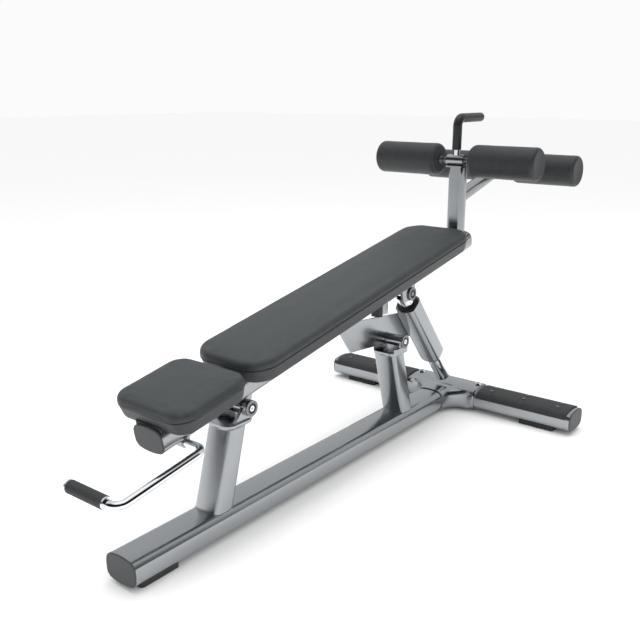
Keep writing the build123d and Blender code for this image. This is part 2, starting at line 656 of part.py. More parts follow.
with BuildPart() as latch_housing:
    with BuildSketch(LATCH_PLANE.offset(BORE_RADIUS + 1.5)):
        Circle(LATCH_BOSS)
    extrude(amount=LATCH_FACE + 5.0 - BORE_RADIUS - 1.5)
    with BuildSketch(LATCH_PLANE):
        Circle(LATCH_PIN + RUNNING)
    extrude(amount=LATCH_FACE + 20.0, mode=Mode.SUBTRACT)
save(latch_housing, "latch_housing")

with BuildPart() as latch_pin:
    with BuildSketch(LATCH_PLANE.offset(CHROME_RADIUS - KEYWAY_DEPTH + SIDE_GAP)):
        Circle(LATCH_PIN - 1.5)
    extrude(amount=10.0)
    with BuildSketch(LATCH_PLANE.offset(CHROME_RADIUS + 2.0)):
        Circle(LATCH_PIN)
    extrude(amount=LATCH_FACE + 5.5 - CHROME_RADIUS - 2.0)
    with BuildSketch(LATCH_PLANE.offset(LATCH_FACE + 5.5)):
        Circle(8.0)
    extrude(amount=5.0)
    fillet(latch_pin.faces().sort_by(Axis(strut_point(LATCH_AT), STRUT_BACK))[-1].edges(), 1.5)
save(latch_pin, "latch_pin")

CHROME_WALL, KEYWAY_WIDTH = 4.0, 7.0 + 2 * SIDE_GAP
EYE_RADIUS, EYE_HALF = 16.0, EAR_IN - SIDE_GAP
TUBE_START = 10.0  # the tube starts this far below its top pin
with BuildPart() as strut_tube:
    with BuildSketch(strut_section(TUBE_START)):
        Circle(CHROME_RADIUS)
        Circle(CHROME_RADIUS - CHROME_WALL, mode=Mode.SUBTRACT)
    extrude(amount=CHROME_END - TUBE_START - CAP)
    with BuildSketch(Plane(strut_point(60.0, CHROME_RADIUS - KEYWAY_DEPTH), x_dir=(0, 1, 0), z_dir=DOWN_STRUT)):
        with Locations((0, KEYWAY_DEPTH)):
            Rectangle(KEYWAY_WIDTH, 2 * KEYWAY_DEPTH)
    extrude(amount=CHROME_END - 60.0, mode=Mode.SUBTRACT)
    with BuildSketch(side_plane(EYE_HALF + 1.0)):
        with Locations(STRUT_PIVOT):
            Circle(EYE_RADIUS)
    extrude(amount=2 * EYE_HALF + 2.0, mode=Mode.SUBTRACT)
save(strut_tube, "strut_tube")

with BuildPart() as strut_tube_plug:
    with BuildSketch(strut_section(CHROME_END - CAP - 14.0)):
        Circle(CHROME_RADIUS - CHROME_WALL)
    extrude(amount=14.0)
    with BuildSketch(strut_section(CHROME_END - CAP)):
        Circle(CHROME_RADIUS)
    extrude(amount=CAP)
    fillet(strut_tube_plug.faces().sort_by(Axis(strut_point(0), DOWN_STRUT))[-1].edges(), 2.0)
save(strut_tube_plug, "strut_tube_plug")

with BuildPart() as strut_eye:
    with BuildSketch(side_plane(EYE_HALF)):
        with Locations(STRUT_PIVOT):
            Circle(EYE_RADIUS)
            Circle(STRUT_PIN, mode=Mode.SUBTRACT)
    extrude(amount=2 * EYE_HALF)
save(strut_eye, "strut_eye")

STRUT_RING_IN = EAR_OUT + SIDE_GAP
with BuildPart() as strut_pin:
    with BuildSketch(side_plane(STRUT_RING_IN)):
        with Locations(STRUT_PIVOT):
            Circle(STRUT_PIN)
    extrude(amount=2 * STRUT_RING_IN)
    for side in (-1, 1):
        low, high = sorted((side * STRUT_RING_IN, side * (STRUT_RING_IN + RING_THICK)))
        with BuildSketch(side_plane(high)):
            with Locations(STRUT_PIVOT):
                Circle(RING_RADIUS)
        extrude(amount=high - low)
        recess = side * (STRUT_RING_IN + RING_THICK - RECESS_DEPTH)
        low, high = sorted((recess, side * (STRUT_RING_IN + RING_THICK)))
        with BuildSketch(side_plane(high)):
            with Locations(STRUT_PIVOT):
                Circle(RECESS_RADIUS)
                RegularPolygon(HEAD_ACROSS, 6, mode=Mode.SUBTRACT)
        extrude(amount=high - low, mode=Mode.SUBTRACT)
save(strut_pin, "strut_pin")

# ---- roller post, axles and handle -----------------------------------------------------------------
POST_ROOT = BEAM_Z + (ROLLER_POST_X - BEAM_X) * math.tan(math.radians(INCLINE))
with BuildPart() as roller_post:
    with BuildSketch(Plane((ROLLER_POST_X, 0, POST_ROOT))):
        add(tube_profile(ROLLER_POST, ROLLER_POST, TUBE_WALL, 12.0))
    extrude(amount=POST_HEAD - POST_ROOT)
    add(bench_outline.part, mode=Mode.SUBTRACT)
save(roller_post, "roller_post")

AXLE_HUB, HUB_REACH = 19.0, 30.0
LIP_HALF, LIP_THICK = 33.0, 5.0
HANDLE_X, STUB_LOW = FRONT_AXLE[0] - 2.0, FRONT_AXLE[1] + AXLE_HUB - 3.0
STUB_RADIUS, HANDLE_RADIUS, HANDLE_BEND = 11.0, 15.0, 26.0
STUB_HIGH = STUB_LOW + 18.0
with BuildPart() as post_head:
    with BuildSketch(Plane((ROLLER_POST_X - 6.0, 0, POST_HEAD))):
        RectangleRounded(68.0, 2 * LIP_HALF, 10.0)
    extrude(amount=LIP_THICK)
    with BuildSketch(side_plane(HUB_REACH)):
        with Locations(FRONT_AXLE):
            Circle(AXLE_HUB)
    extrude(amount=2 * HUB_REACH)
    with BuildSketch(Plane((FRONT_AXLE[0] + 14.0, 0, POST_HEAD + LIP_THICK))):
        RectangleRounded(28.0, 40.0, 6.0)
    extrude(amount=22.0)
    with BuildSketch(side_plane(LIP_HALF + 1.0)):
        with Locations(FRONT_AXLE):
            Circle(AXLE_RADIUS)
    extrude(amount=2 * LIP_HALF + 2.0, mode=Mode.SUBTRACT)
    with BuildSketch(Plane((HANDLE_X, 0, STUB_LOW))):
        Circle(STUB_RADIUS)
    extrude(amount=40.0, mode=Mode.SUBTRACT)
save(post_head, "post_head")

CORE_SETBACK = 10.0  # the core stops short of the foam's outer end
AXLE_END = ROLLER_OUT - 5.0
with BuildPart() as front_axle:
    with BuildSketch(side_plane(AXLE_END)):
        with Locations(FRONT_AXLE):
            Circle(AXLE_RADIUS)
    extrude(amount=2 * AXLE_END)
save(front_axle, "front_axle")

with BuildPart() as rear_axle:
    with BuildSketch(side_plane(AXLE_END)):
        with Locations(REAR_AXLE):
            Circle(AXLE_RADIUS)
    extrude(amount=2 * AXLE_END)
save(rear_axle, "rear_axle")

STRUT_TUBE = 40.0
ARM_LOW = (ROLLER_POST_X + 8.0, 728.0)
ARM_RISE = math.degrees(math.atan2(REAR_AXLE[1] - ARM_LOW[1], REAR_AXLE[0] - ARM_LOW[0]))
ARM_LENGTH = math.hypot(REAR_AXLE[0] - ARM_LOW[0], REAR_AXLE[1] - ARM_LOW[1])
with BuildPart() as roller_arm:
    with BuildSketch(Plane((ARM_LOW[0], 0, ARM_LOW[1]), x_dir=(0, 1, 0), z_dir=tilted(ARM_RISE))):
        add(tube_profile(STRUT_TUBE, STRUT_TUBE, TUBE_WALL, 9.0))
    extrude(amount=ARM_LENGTH)
    with BuildSketch(side_plane(HUB_REACH)):
        with Locations(REAR_AXLE):
            Circle(AXLE_HUB + 3.0)
    extrude(amount=2 * HUB_REACH)
    with BuildSketch(side_plane(LIP_HALF + 1.0)):
        with Locations(REAR_AXLE):
            Circle(AXLE_RADIUS)
    extrude(amount=2 * LIP_HALF + 2.0, mode=Mode.SUBTRACT)
    with BuildSketch(Plane((ROLLER_POST_X, 0, POST_ROOT))):
        add(barrel(ROLLER_POST, ROLLER_POST, 12.0))
    extrude(amount=POST_HEAD - POST_ROOT, mode=Mode.SUBTRACT)
save(roller_arm, "roller_arm")

WASHER_THICK = 3.0
WASHER_FACES = (
    (ROLLER_IN - SIDE_GAP - WASHER_THICK, AXLE_HUB - 2.0),
    (ROLLER_OUT - CORE_SETBACK + SIDE_GAP, AXLE_HUB - 4.0),
)
with BuildPart() as axle_washers:
    for axle in (FRONT_AXLE, REAR_AXLE):
        for side in (-1, 1):
            for face, radius in WASHER_FACES:
                low, high = sorted((side * face, side * (face + WASHER_THICK)))
                with BuildSketch(side_plane(high)):
                    with Locations(axle):
                        Circle(radius)
                        Circle(AXLE_RADIUS, mode=Mode.SUBTRACT)
                extrude(amount=high - low)
save(axle_washers, "axle_washers")

with BuildPart() as handle_stub:
    with BuildSketch(Plane((HANDLE_X, 0, STUB_LOW))):
        Circle(STUB_RADIUS)
    extrude(amount=STUB_HIGH - STUB_LOW + 30.0)
save(handle_stub, "handle_stub")

with BuildPart() as assist_handle:
    with BuildLine() as handle_path:
        FilletPolyline(
            (HANDLE_X, 0, STUB_HIGH),
            (HANDLE_X, 0, HANDLE_TOP - HANDLE_RADIUS),
            (HANDLE_REACH - HANDLE_RADIUS, 0, HANDLE_TOP - HANDLE_RADIUS),
            radius=HANDLE_BEND,
        )
    with BuildSketch(Plane((HANDLE_X, 0, STUB_HIGH))):
        Circle(HANDLE_RADIUS)
    sweep()
    grip_ends = assist_handle.faces().sort_by(Axis.X)[-1]
    fillet(grip_ends.edges(), 9.0)
    fillet(assist_handle.faces().sort_by(Axis.Z)[0].edges(), 2.0)
    with BuildSketch(Plane((HANDLE_X, 0, STUB_HIGH))):
        Circle(STUB_RADIUS)
    extrude(amount=30.0, mode=Mode.SUBTRACT)
save(assist_handle, "assist_handle")

# ---- foam rollers -----------------------------------------------------------------------------------
CORE_RADIUS, FOAM_END = 16.0, 16.0
ROLLERS = (
    ("front_left", FRONT_AXLE, 1),
    ("front_right", FRONT_AXLE, -1),
    ("rear_left", REAR_AXLE, 1),
    ("rear_right", REAR_AXLE, -1),
)
for name, axle, side in ROLLERS:
    low, high = sorted((side * ROLLER_IN, side * ROLLER_OUT))
    with BuildPart() as foam:
        with BuildSketch(side_plane(high)):
            with Locations(axle):
                Circle(ROLLER_RADIUS)
        extrude(amount=high - low)
        fillet(foam.edges(), FOAM_END)
        with BuildSketch(side_plane(high)):
            with Locations(axle):
                Circle(CORE_RADIUS)
        extrude(amount=high - low, mode=Mode.SUBTRACT)
    save(foam, f"roller_{name}_foam")
    low, high = sorted((side * ROLLER_IN, side * (ROLLER_OUT - CORE_SETBACK)))
    with BuildPart() as core:
        with BuildSketch(side_plane(high)):
            with Locations(axle):
                Circle(CORE_RADIUS)
                Circle(AXLE_RADIUS + RUNNING, mode=Mode.SUBTRACT)
        extrude(amount=high - low)
    save(core, f"roller_{name}_core")

# ---- release lever -----------------------------------------------------------------------------------
LEVER_BEND = 26.0
LEVER_IN = 30.0
ARM_START = (LEVER_PIVOT[0], LEVER_SIDE, LEVER_PIVOT[1])
ARM_FINISH = (GRIP_X, LEVER_SIDE, GRIP_Z)
with BuildPart() as lever_bar:
    with BuildLine():
        FilletPolyline(
            (LEVER_PIVOT[0], LEVER_IN, LEVER_PIVOT[1]),
            ARM_START,
            ARM_FINISH,
            (GRIP_X, GRIP_OUT + 4.0, GRIP_Z),
            radius=LEVER_BEND,
        )
    with BuildSketch(Plane((LEVER_PIVOT[0], LEVER_IN, LEVER_PIVOT[1]), x_dir=(1, 0, 0), z_dir=(0, -1, 0))):
        Circle(BAR_RADIUS)
    sweep()
save(lever_bar, "lever_bar")

with BuildPart() as lever_grip:
    with BuildSketch(side_plane(GRIP_OUT)):
        with Locations((GRIP_X, GRIP_Z)):
            Circle(GRIP_RADIUS)
    extrude(amount=GRIP_OUT + GRIP_IN)
    fillet(lever_grip.edges(), 3.0)
    with BuildSketch(side_plane(GRIP_OUT + 5.0)):
        with Locations((GRIP_X, GRIP_Z)):
            Circle(BAR_RADIUS)
    extrude(amount=GRIP_OUT + GRIP_IN + 10.0, mode=Mode.SUBTRACT)
save(lever_grip, "lever_grip")

COLLAR = 5.0
with BuildPart() as lever_collars:
    for face in (GRIP_OUT, -GRIP_IN - COLLAR):
        with BuildSketch(side_plane(face + COLLAR)):
            with Locations((GRIP_X, GRIP_Z)):
                Circle(GRIP_RADIUS - 1.0)
                Circle(BAR_RADIUS, mode=Mode.SUBTRACT)
        extrude(amount=COLLAR)
save(lever_collars, "lever_collars")

BRACKET_HALF = 22.0
with BuildPart() as lever_bracket:
    with BuildSketch(side_plane(BRACKET_HALF)):
        with Locations(LEVER_PIVOT):
            Circle(14.0)
        with BuildLine():
            Polyline(
                (LEVER_PIVOT[0] - 13.8, LEVER_PIVOT[1] + 2.0),
                (LEVER_PIVOT[0] + 13.8, LEVER_PIVOT[1] + 2.0),
                (LEVER_PIVOT[0] + 24.0, LEVER_PIVOT[1] + 50.0),
                (LEVER_PIVOT[0] - 24.0, LEVER_PIVOT[1] + 50.0),
                close=True,
            )
        make_face()
        with Locations(LEVER_PIVOT):
            Circle(BAR_RADIUS + RUNNING, mode=Mode.SUBTRACT)
    extrude(amount=2 * BRACKET_HALF)
    add(bench_outline.part, mode=Mode.SUBTRACT)
save(lever_bracket, "lever_bracket")
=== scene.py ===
import json
import math

import bmesh
import bpy
from bpy.props import FloatProperty, FloatVectorProperty, IntProperty, PointerProperty
from mathutils import Matrix, Vector, noise
from mathutils.bvhtree import BVHTree


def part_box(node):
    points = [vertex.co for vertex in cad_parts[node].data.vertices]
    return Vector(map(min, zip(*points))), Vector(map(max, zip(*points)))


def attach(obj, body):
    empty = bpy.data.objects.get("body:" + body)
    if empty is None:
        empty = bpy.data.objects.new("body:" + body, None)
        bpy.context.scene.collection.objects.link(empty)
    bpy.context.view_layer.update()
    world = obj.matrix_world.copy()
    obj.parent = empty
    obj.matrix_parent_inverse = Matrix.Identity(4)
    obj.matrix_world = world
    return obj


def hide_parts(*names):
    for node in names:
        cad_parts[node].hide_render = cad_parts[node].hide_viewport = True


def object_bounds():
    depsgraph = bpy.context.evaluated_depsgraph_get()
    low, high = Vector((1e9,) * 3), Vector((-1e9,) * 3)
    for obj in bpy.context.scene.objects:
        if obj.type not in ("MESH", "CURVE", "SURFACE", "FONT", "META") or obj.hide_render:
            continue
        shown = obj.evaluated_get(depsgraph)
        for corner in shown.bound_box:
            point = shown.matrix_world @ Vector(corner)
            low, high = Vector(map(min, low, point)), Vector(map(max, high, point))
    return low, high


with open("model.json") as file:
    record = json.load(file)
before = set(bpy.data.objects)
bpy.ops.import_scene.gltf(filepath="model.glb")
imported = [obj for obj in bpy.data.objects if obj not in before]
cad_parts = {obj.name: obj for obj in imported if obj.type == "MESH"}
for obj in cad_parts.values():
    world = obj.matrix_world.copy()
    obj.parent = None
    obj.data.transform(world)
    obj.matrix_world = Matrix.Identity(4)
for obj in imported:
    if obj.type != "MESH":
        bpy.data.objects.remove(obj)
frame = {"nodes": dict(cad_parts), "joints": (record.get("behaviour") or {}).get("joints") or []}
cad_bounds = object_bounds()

bl_info = {
    "name": "Decline Sit-Up Bench",
    "version": (1, 0, 0),
    "blender": (4, 5, 0),
    "location": "3D View > Sidebar > Sit-Up Bench",
    "description": "Finishes, upholstery and small parts for a steel decline sit-up bench",
    "category": "Object",
}

MM = 0.001


def linear(code):
    """Linear RGBA of an sRGB hex colour."""
    shares = [int(code[i : i + 2], 16) / 255 for i in (1, 3, 5)]
    return [s / 12.92 if s <= 0.04045 else ((s + 0.055) / 1.055) ** 2.4 for s in shares] + [1.0]


# ---- settings a user would change ----------------------------------------------------------------
def colour(title, about, code):
    """A colour setting with an sRGB hex default."""
    return FloatVectorProperty(
        name=title, description=about, subtype="COLOR", size=4, min=0.0, max=1.0, default=linear(code)
    )


def length(title, about, millimetres):
    """A length setting with a default in millimetres."""
    return FloatProperty(name=title, description=about, unit="LENGTH", default=millimetres * MM)


class BenchFinishes(bpy.types.PropertyGroup):
    """Colours of the bench's finishes."""

    coat: colour("Powder coat", "Silver metallic powder coat on the steel frame", "#9EA1A4")
    chrome: colour("Chrome plate", "Polished chrome on the bright parts", "#E6E8EA")
    machined: colour("Machined steel", "Turned pivot rings and axles", "#85888B")
    cap: colour("End caps", "Moulded tube end caps", "#3C3F41")
    rubber: colour("Rubber", "Moulded rubber feet and step pads", "#2B2D2E")
    nylon: colour("Black nylon", "Bushes, roller cores and the latch", "#17181A")
    bronze: colour("Bronze", "Sintered bushes in the front hub", "#A8814E")
    vinyl: colour("Pad vinyl", "Upholstery vinyl on the pads", "#34383A")
    roller: colour("Roller vinyl", "Grained vinyl on the leg rollers", "#2A2D2F")
    handle: colour("Handle grip", "Dipped vinyl on the assist handle", "#1D1F21")
    floor: colour("Floor", "Studio floor", "#F8F8F8")


class BenchSizes(bpy.types.PropertyGroup):
    """Sizes of the upholstery, the welds and the small parts."""

    pad_roll: length("Pad edge", "Radius of the pad's rolled top edge", 15.0)
    pad_crown: length("Pad crown", "Rise of the pad's middle above its edge", 2.5)
    pad_swell: length("Pad swell", "Most that the stuffed cover moves out", 1.6)
    head_corner: length("Head pad corner", "Corner radius of the head pad in plan", 48.0)
    back_corner: length("Back pad corner", "Corner radius of the back pad in plan", 68.0)
    roller_swell: length("Roller swell", "Most that a roller's cover moves out", 2.0)
    weld_radius: length("Weld bead", "Radius of a weld bead", 2.2)
    weld_ripple: length("Weld ripple", "Spacing of the ripples in a weld bead", 4.5)
    grip_rib: length("Grip rib", "Spacing of the lever grip's ribs", 4.0)
    sim_frames: IntProperty(
        name="Stuffing steps", description="Steps of the stuffing simulation", default=20, min=1
    )


def sizes():
    return bpy.context.scene.bench_sizes


def finishes():
    return bpy.context.scene.bench_finishes


# ---- node trees ----------------------------------------------------------------------------------
COLOUR_A, COLOUR_B, MIXED_COLOUR = 6, 7, 2  # a Mix node's sockets when it mixes colours


def add_node(tree, kind, settings=None, links=None):
    """Adds a node. Settings name its properties or its inputs' values; links join outputs to its inputs."""
    made = tree.nodes.new(kind)
    for name, value in (settings or {}).items():
        if isinstance(name, int) or name in made.inputs:
            made.inputs[name].default_value = value
        else:
            setattr(made, name, value)
    for name, output in (links or {}).items():
        tree.links.new(output, made.inputs[name])
    return made


def new_material(name):
    """An empty node material with its output, and the object's own coordinates in metres."""
    made = bpy.data.materials.new(name)
    made.use_nodes = True
    tree = made.node_tree
    tree.nodes.clear()
    output = add_node(tree, "ShaderNodeOutputMaterial")
    place = add_node(tree, "ShaderNodeTexCoord").outputs["Object"]
    return made, tree, output, place


def per_metre(millimetres):
    """Texture scale whose pattern repeats about every so many millimetres."""
    return 1.0 / (millimetres * MM)


def close_material(tree, output, shader):
    tree.links.new(shader.outputs["BSDF"], output.inputs["Surface"])


def span(tree, value, low, high):
    """Maps a 0 to 1 output to a low to high one."""
    made = add_node(tree, "ShaderNodeMapRange", {"To Min": low, "To Max": high}, {"Value": value})
    return made.outputs["Result"]


def shade(tree, factor, dark, light):
    """Mixes two colours by a factor."""
    settings = {"data_type": "RGBA", COLOUR_A: dark, COLOUR_B: light}
    made = add_node(tree, "ShaderNodeMix", settings, {0: factor})
    return made.outputs[MIXED_COLOUR]


def tone(base, share):
    """A colour made darker or lighter by a share."""
    return [min(1.0, c * share) for c in base[:3]] + [1.0]


# ---- materials -----------------------------------------------------------------------------------
def silver_powder_coat():
    # Metallic powder coat under a clear lacquer: soft mirror with a faint orange peel, and metal flake
    # that shows as a fine sparkle. Flake is drawn at 0.9 mm, coarser than life, so that it shows.
    made, tree, output, place = new_material("silver_powder_coat")
    base = finishes().coat
    flake = add_node(tree, "ShaderNodeTexNoise", {"Scale": per_metre(0.9), "Detail": 1.0}, {"Vector": place})
    cloud = add_node(tree, "ShaderNodeTexNoise", {"Scale": per_metre(90.0), "Detail": 3.0}, {"Vector": place})
    peel = add_node(tree, "ShaderNodeTexNoise", {"Scale": per_metre(3.0), "Detail": 1.0}, {"Vector": place})
    mixed = shade(tree, flake.outputs["Fac"], tone(base, 0.9), tone(base, 1.08))
    rough = span(tree, cloud.outputs["Fac"], 0.2, 0.3)
    bump = add_node(
        tree, "ShaderNodeBump", {"Strength": 0.25, "Distance": 0.03 * MM}, {"Height": peel.outputs["Fac"]}
    )
    shader = add_node(
        tree,
        "ShaderNodeBsdfPrincipled",
        {"Metallic": 1.0, "Coat Weight": 0.5, "Coat Roughness": 0.06},
        {"Base Color": mixed, "Roughness": rough, "Normal": bump.outputs["Normal"]},
    )
    close_material(tree, output, shader)
    return made


def polished_chrome():
    # Chrome plate on polished steel: a clear mirror with wipe marks that only change its gloss.
    made, tree, output, place = new_material("polished_chrome")
    wipe = add_node(tree, "ShaderNodeTexNoise", {"Scale": per_metre(35.0), "Detail": 4.0}, {"Vector": place})
    shader = add_node(
        tree,
        "ShaderNodeBsdfPrincipled",
        {"Metallic": 1.0, "Base Color": finishes().chrome},
        {"Roughness": span(tree, wipe.outputs["Fac"], 0.03, 0.1)},
    )
    close_material(tree, output, shader)
    return made


def machined_steel():
    # Turned steel, zinc plated: duller than the chrome, with a faint cloud where the plate thins.
    made, tree, output, place = new_material("machined_steel")
    cloud = add_node(tree, "ShaderNodeTexNoise", {"Scale": per_metre(12.0), "Detail": 3.0}, {"Vector": place})
    base = finishes().machined
    shader = add_node(
        tree,
        "ShaderNodeBsdfPrincipled",
        {"Metallic": 1.0},
        {
            "Base Color": shade(tree, cloud.outputs["Fac"], tone(base, 0.85), base),
            "Roughness": span(tree, cloud.outputs["Fac"], 0.28, 0.4),
        },
    )
    close_material(tree, output, shader)
    return made


def textured_plastic(name, base, gloss, grain, depth):
    # Moulded thermoplastic with a spark-eroded skin: an even, dull face broken by a fine pebble.
    made, tree, output, place = new_material(name)
    pebble = add_node(
        tree, "ShaderNodeTexNoise", {"Scale": per_metre(grain), "Detail": 2.0}, {"Vector": place}
    )
    haze = add_node(tree, "ShaderNodeTexNoise", {"Scale": per_metre(60.0), "Detail": 2.0}, {"Vector": place})
    bump = add_node(
        tree, "ShaderNodeBump", {"Strength": 0.4, "Distance": depth * MM}, {"Height": pebble.outputs["Fac"]}
    )
    shader = add_node(
        tree,
        "ShaderNodeBsdfPrincipled",
        {"IOR": 1.53},
        {
            "Base Color": shade(tree, haze.outputs["Fac"], tone(base, 0.88), tone(base, 1.12)),
            "Roughness": span(tree, pebble.outputs["Fac"], gloss - 0.06, gloss + 0.08),
            "Normal": bump.outputs["Normal"],
        },
    )
    close_material(tree, output, shader)
    return made


def turned_bronze():
    # Sintered bronze: a warm, slightly porous metal left as turned.
    made, tree, output, place = new_material("turned_bronze")
    pores = add_node(tree, "ShaderNodeTexNoise", {"Scale": per_metre(0.7), "Detail": 3.0}, {"Vector": place})
    base = finishes().bronze
    shader = add_node(
        tree,
        "ShaderNodeBsdfPrincipled",
        {"Metallic": 1.0},
        {
            "Base Color": shade(tree, pores.outputs["Fac"], tone(base, 0.7), base),
            "Roughness": span(tree, pores.outputs["Fac"], 0.3, 0.5),
        },
    )
    close_material(tree, output, shader)
    return made


def grained_vinyl(name, base, grain, rough):
    # Expanded PVC upholstery with a leather emboss: small pebbles parted by fine creases, with painted shade
    # that darkens the creases against the pebble tops, a dull satin gloss, and a slow change of shade where
    # the cover is stretched.
    made, tree, output, place = new_material(name)
    cells = add_node(
        tree,
        "ShaderNodeTexVoronoi",
        {"feature": "DISTANCE_TO_EDGE", "Scale": per_metre(grain)},
        {"Vector": place},
    )
    fine = add_node(
        tree, "ShaderNodeTexNoise", {"Scale": per_metre(grain / 3), "Detail": 2.0}, {"Vector": place}
    )
    cloud = add_node(tree, "ShaderNodeTexNoise", {"Scale": per_metre(16.0), "Detail": 5.0}, {"Vector": place})
    tops = add_node(
        tree, "ShaderNodeMapRange", {"From Max": 0.12, "To Max": 1.0}, {"Value": cells.outputs["Distance"]}
    )
    height = add_node(
        tree,
        "ShaderNodeMath",
        {"operation": "MULTIPLY_ADD", 1: 0.25},
        {0: fine.outputs["Fac"], 2: tops.outputs["Result"]},
    )
    bump = add_node(
        tree, "ShaderNodeBump", {"Strength": 0.7, "Distance": 0.3 * MM}, {"Height": height.outputs["Value"]}
    )
    cover = shade(tree, cloud.outputs["Fac"], tone(base, 0.55), tone(base, 1.45))
    # Painted shade: the creases between the pebbles are drawn at 0.6 of the base colour, darker than the
    # pebble tops.
    crease_shaded = add_node(
        tree,
        "ShaderNodeMix",
        {"data_type": "RGBA", COLOUR_A: tone(base, 0.6)},
        {0: tops.outputs["Result"], COLOUR_B: cover},
    )
    shader = add_node(
        tree,
        "ShaderNodeBsdfPrincipled",
        {"IOR": 1.5},
        {
            "Base Color": crease_shaded.outputs[MIXED_COLOUR],
            "Roughness": span(tree, cloud.outputs["Fac"], rough - 0.05, rough + 0.08),
            "Normal": bump.outputs["Normal"],
        },
    )
    close_material(tree, output, shader)
    return made


def studio_floor():
    # Matte painted floor.
    made, tree, output, place = new_material("matte_floor_paint")
    soft = add_node(tree, "ShaderNodeTexNoise", {"Scale": per_metre(400.0)}, {"Vector": place})
    base = finishes().floor
    shader = add_node(
        tree,
        "ShaderNodeBsdfPrincipled",
        {"Roughness": 0.9, "Specular IOR Level": 0.0},
        {"Base Color": shade(tree, soft.outputs["Fac"], tone(base, 0.985), base)},
    )
    close_material(tree, output, shader)
    return made


# ---- mesh building -------------------------------------------------------------------------------
def grid_faces(rows, columns, start=0, closed=True):
    """Quads between rows of points, each row an open or closed ring of columns."""
    made = []
    for row in range(rows - 1):
        for column in range(columns if closed else columns - 1):
            after = (column + 1) % columns
            low, high = start + row * columns, start + (row + 1) * columns
            made.append((low + column, low + after, high + after, high + column))
    return made


def build(name, points, faces, material, smooth=True):
    """Links a mesh object made from points and faces."""
    mesh = bpy.data.meshes.new(name)
    mesh.from_pydata([tuple(p) for p in points], [], faces)
    mesh.validate()
    for face in mesh.polygons:
        face.use_smooth = smooth
    mesh.materials.append(material)
    made = bpy.data.objects.new(name, mesh)
    bpy.context.scene.collection.objects.link(made)
    return made


def face_outwards(piece):
    """Turns every face of a closed mesh outwards."""
    work = bmesh.new()
    work.from_mesh(piece.data)
    bmesh.ops.recalc_face_normals(work, faces=work.faces)
    work.to_mesh(piece.data)
    work.free()


def revolve(profile, turns, centre, axis_y=1.0):
    """Points and faces of a profile of (along, radius) pairs turned about an axis along Y."""
    points = []
    for along, radius in profile:
        for step in range(turns):
            angle = math.tau * step / turns
            points.append(
                Vector((radius * math.cos(angle), axis_y * along, radius * math.sin(angle))) + centre
            )
    return points, grid_faces(len(profile), turns)


def arc(centre, radius, start, end, steps):
    """Points of an arc in a profile's plane, angles in degrees."""
    made = []
    for step in range(steps + 1):
        angle = math.radians(start + (end - start) * step / steps)
        made.append((centre[0] + radius * math.cos(angle), centre[1] + radius * math.sin(angle)))
    return made


def stuff(piece, held, cap, pressure=4.0):
    """Swells a closed cover as its stuffing does, with the held points sewn down, and caps the move."""
    cloth = piece.modifiers.new("cover", "CLOTH")
    setup = cloth.settings
    setup.quality = 5
    setup.use_pressure = True
    setup.uniform_pressure_force = pressure
    setup.effector_weights.gravity = 0.0
    group = piece.vertex_groups.new(name="sewn")
    group.add(held, 1.0, "REPLACE")
    setup.vertex_group_mass = group.name
    scene = bpy.context.scene
    for step in range(1, sizes().sim_frames + 1):
        scene.frame_set(step)
    swollen = piece.evaluated_get(bpy.context.evaluated_depsgraph_get())
    ends = [v.co.copy() for v in swollen.data.vertices]
    piece.modifiers.remove(cloth)
    piece.vertex_groups.remove(group)
    for vertex, end in zip(piece.data.vertices, ends):
        move = end - vertex.co
        if move.length > cap:
            move *= cap / move.length
        vertex.co += move
    scene.frame_set(1)


def smooth_mesh(piece, level=1):
    """Adds one subdivision."""
    made = piece.modifiers.new("smooth", "SUBSURF")
    made.levels = made.render_levels = level


# ---- the bench's own slope -----------------------------------------------------------------------
def bench_slope():
    """Matrix with X along the bench beam, Y to the left and Z square to the lying surface."""
    low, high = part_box("bench_beam")
    middle = (low.x + high.x) / 2
    points = [v.co for v in frame["nodes"]["bench_beam"].data.vertices]
    front = [p for p in points if p.x < middle]
    rear = [p for p in points if p.x >= middle]
    start, end = sum(front, Vector()) / len(front), sum(rear, Vector()) / len(rear)
    along = (end - start).normalized()
    left = Vector((0.0, 1.0, 0.0))
    made = Matrix((along, left, along.cross(left))).transposed().to_4x4()
    made.translation = start
    return made


SLOPE = bench_slope()


def slope_box(node):
    """Lowest and highest corner of a CAD node along the bench's slope."""
    back = SLOPE.inverted()
    points = [back @ v.co for v in frame["nodes"][node].data.vertices]
    low = Vector([min(p[i] for p in points) for i in range(3)])
    high = Vector([max(p[i] for p in points) for i in range(3)])
    return low, high


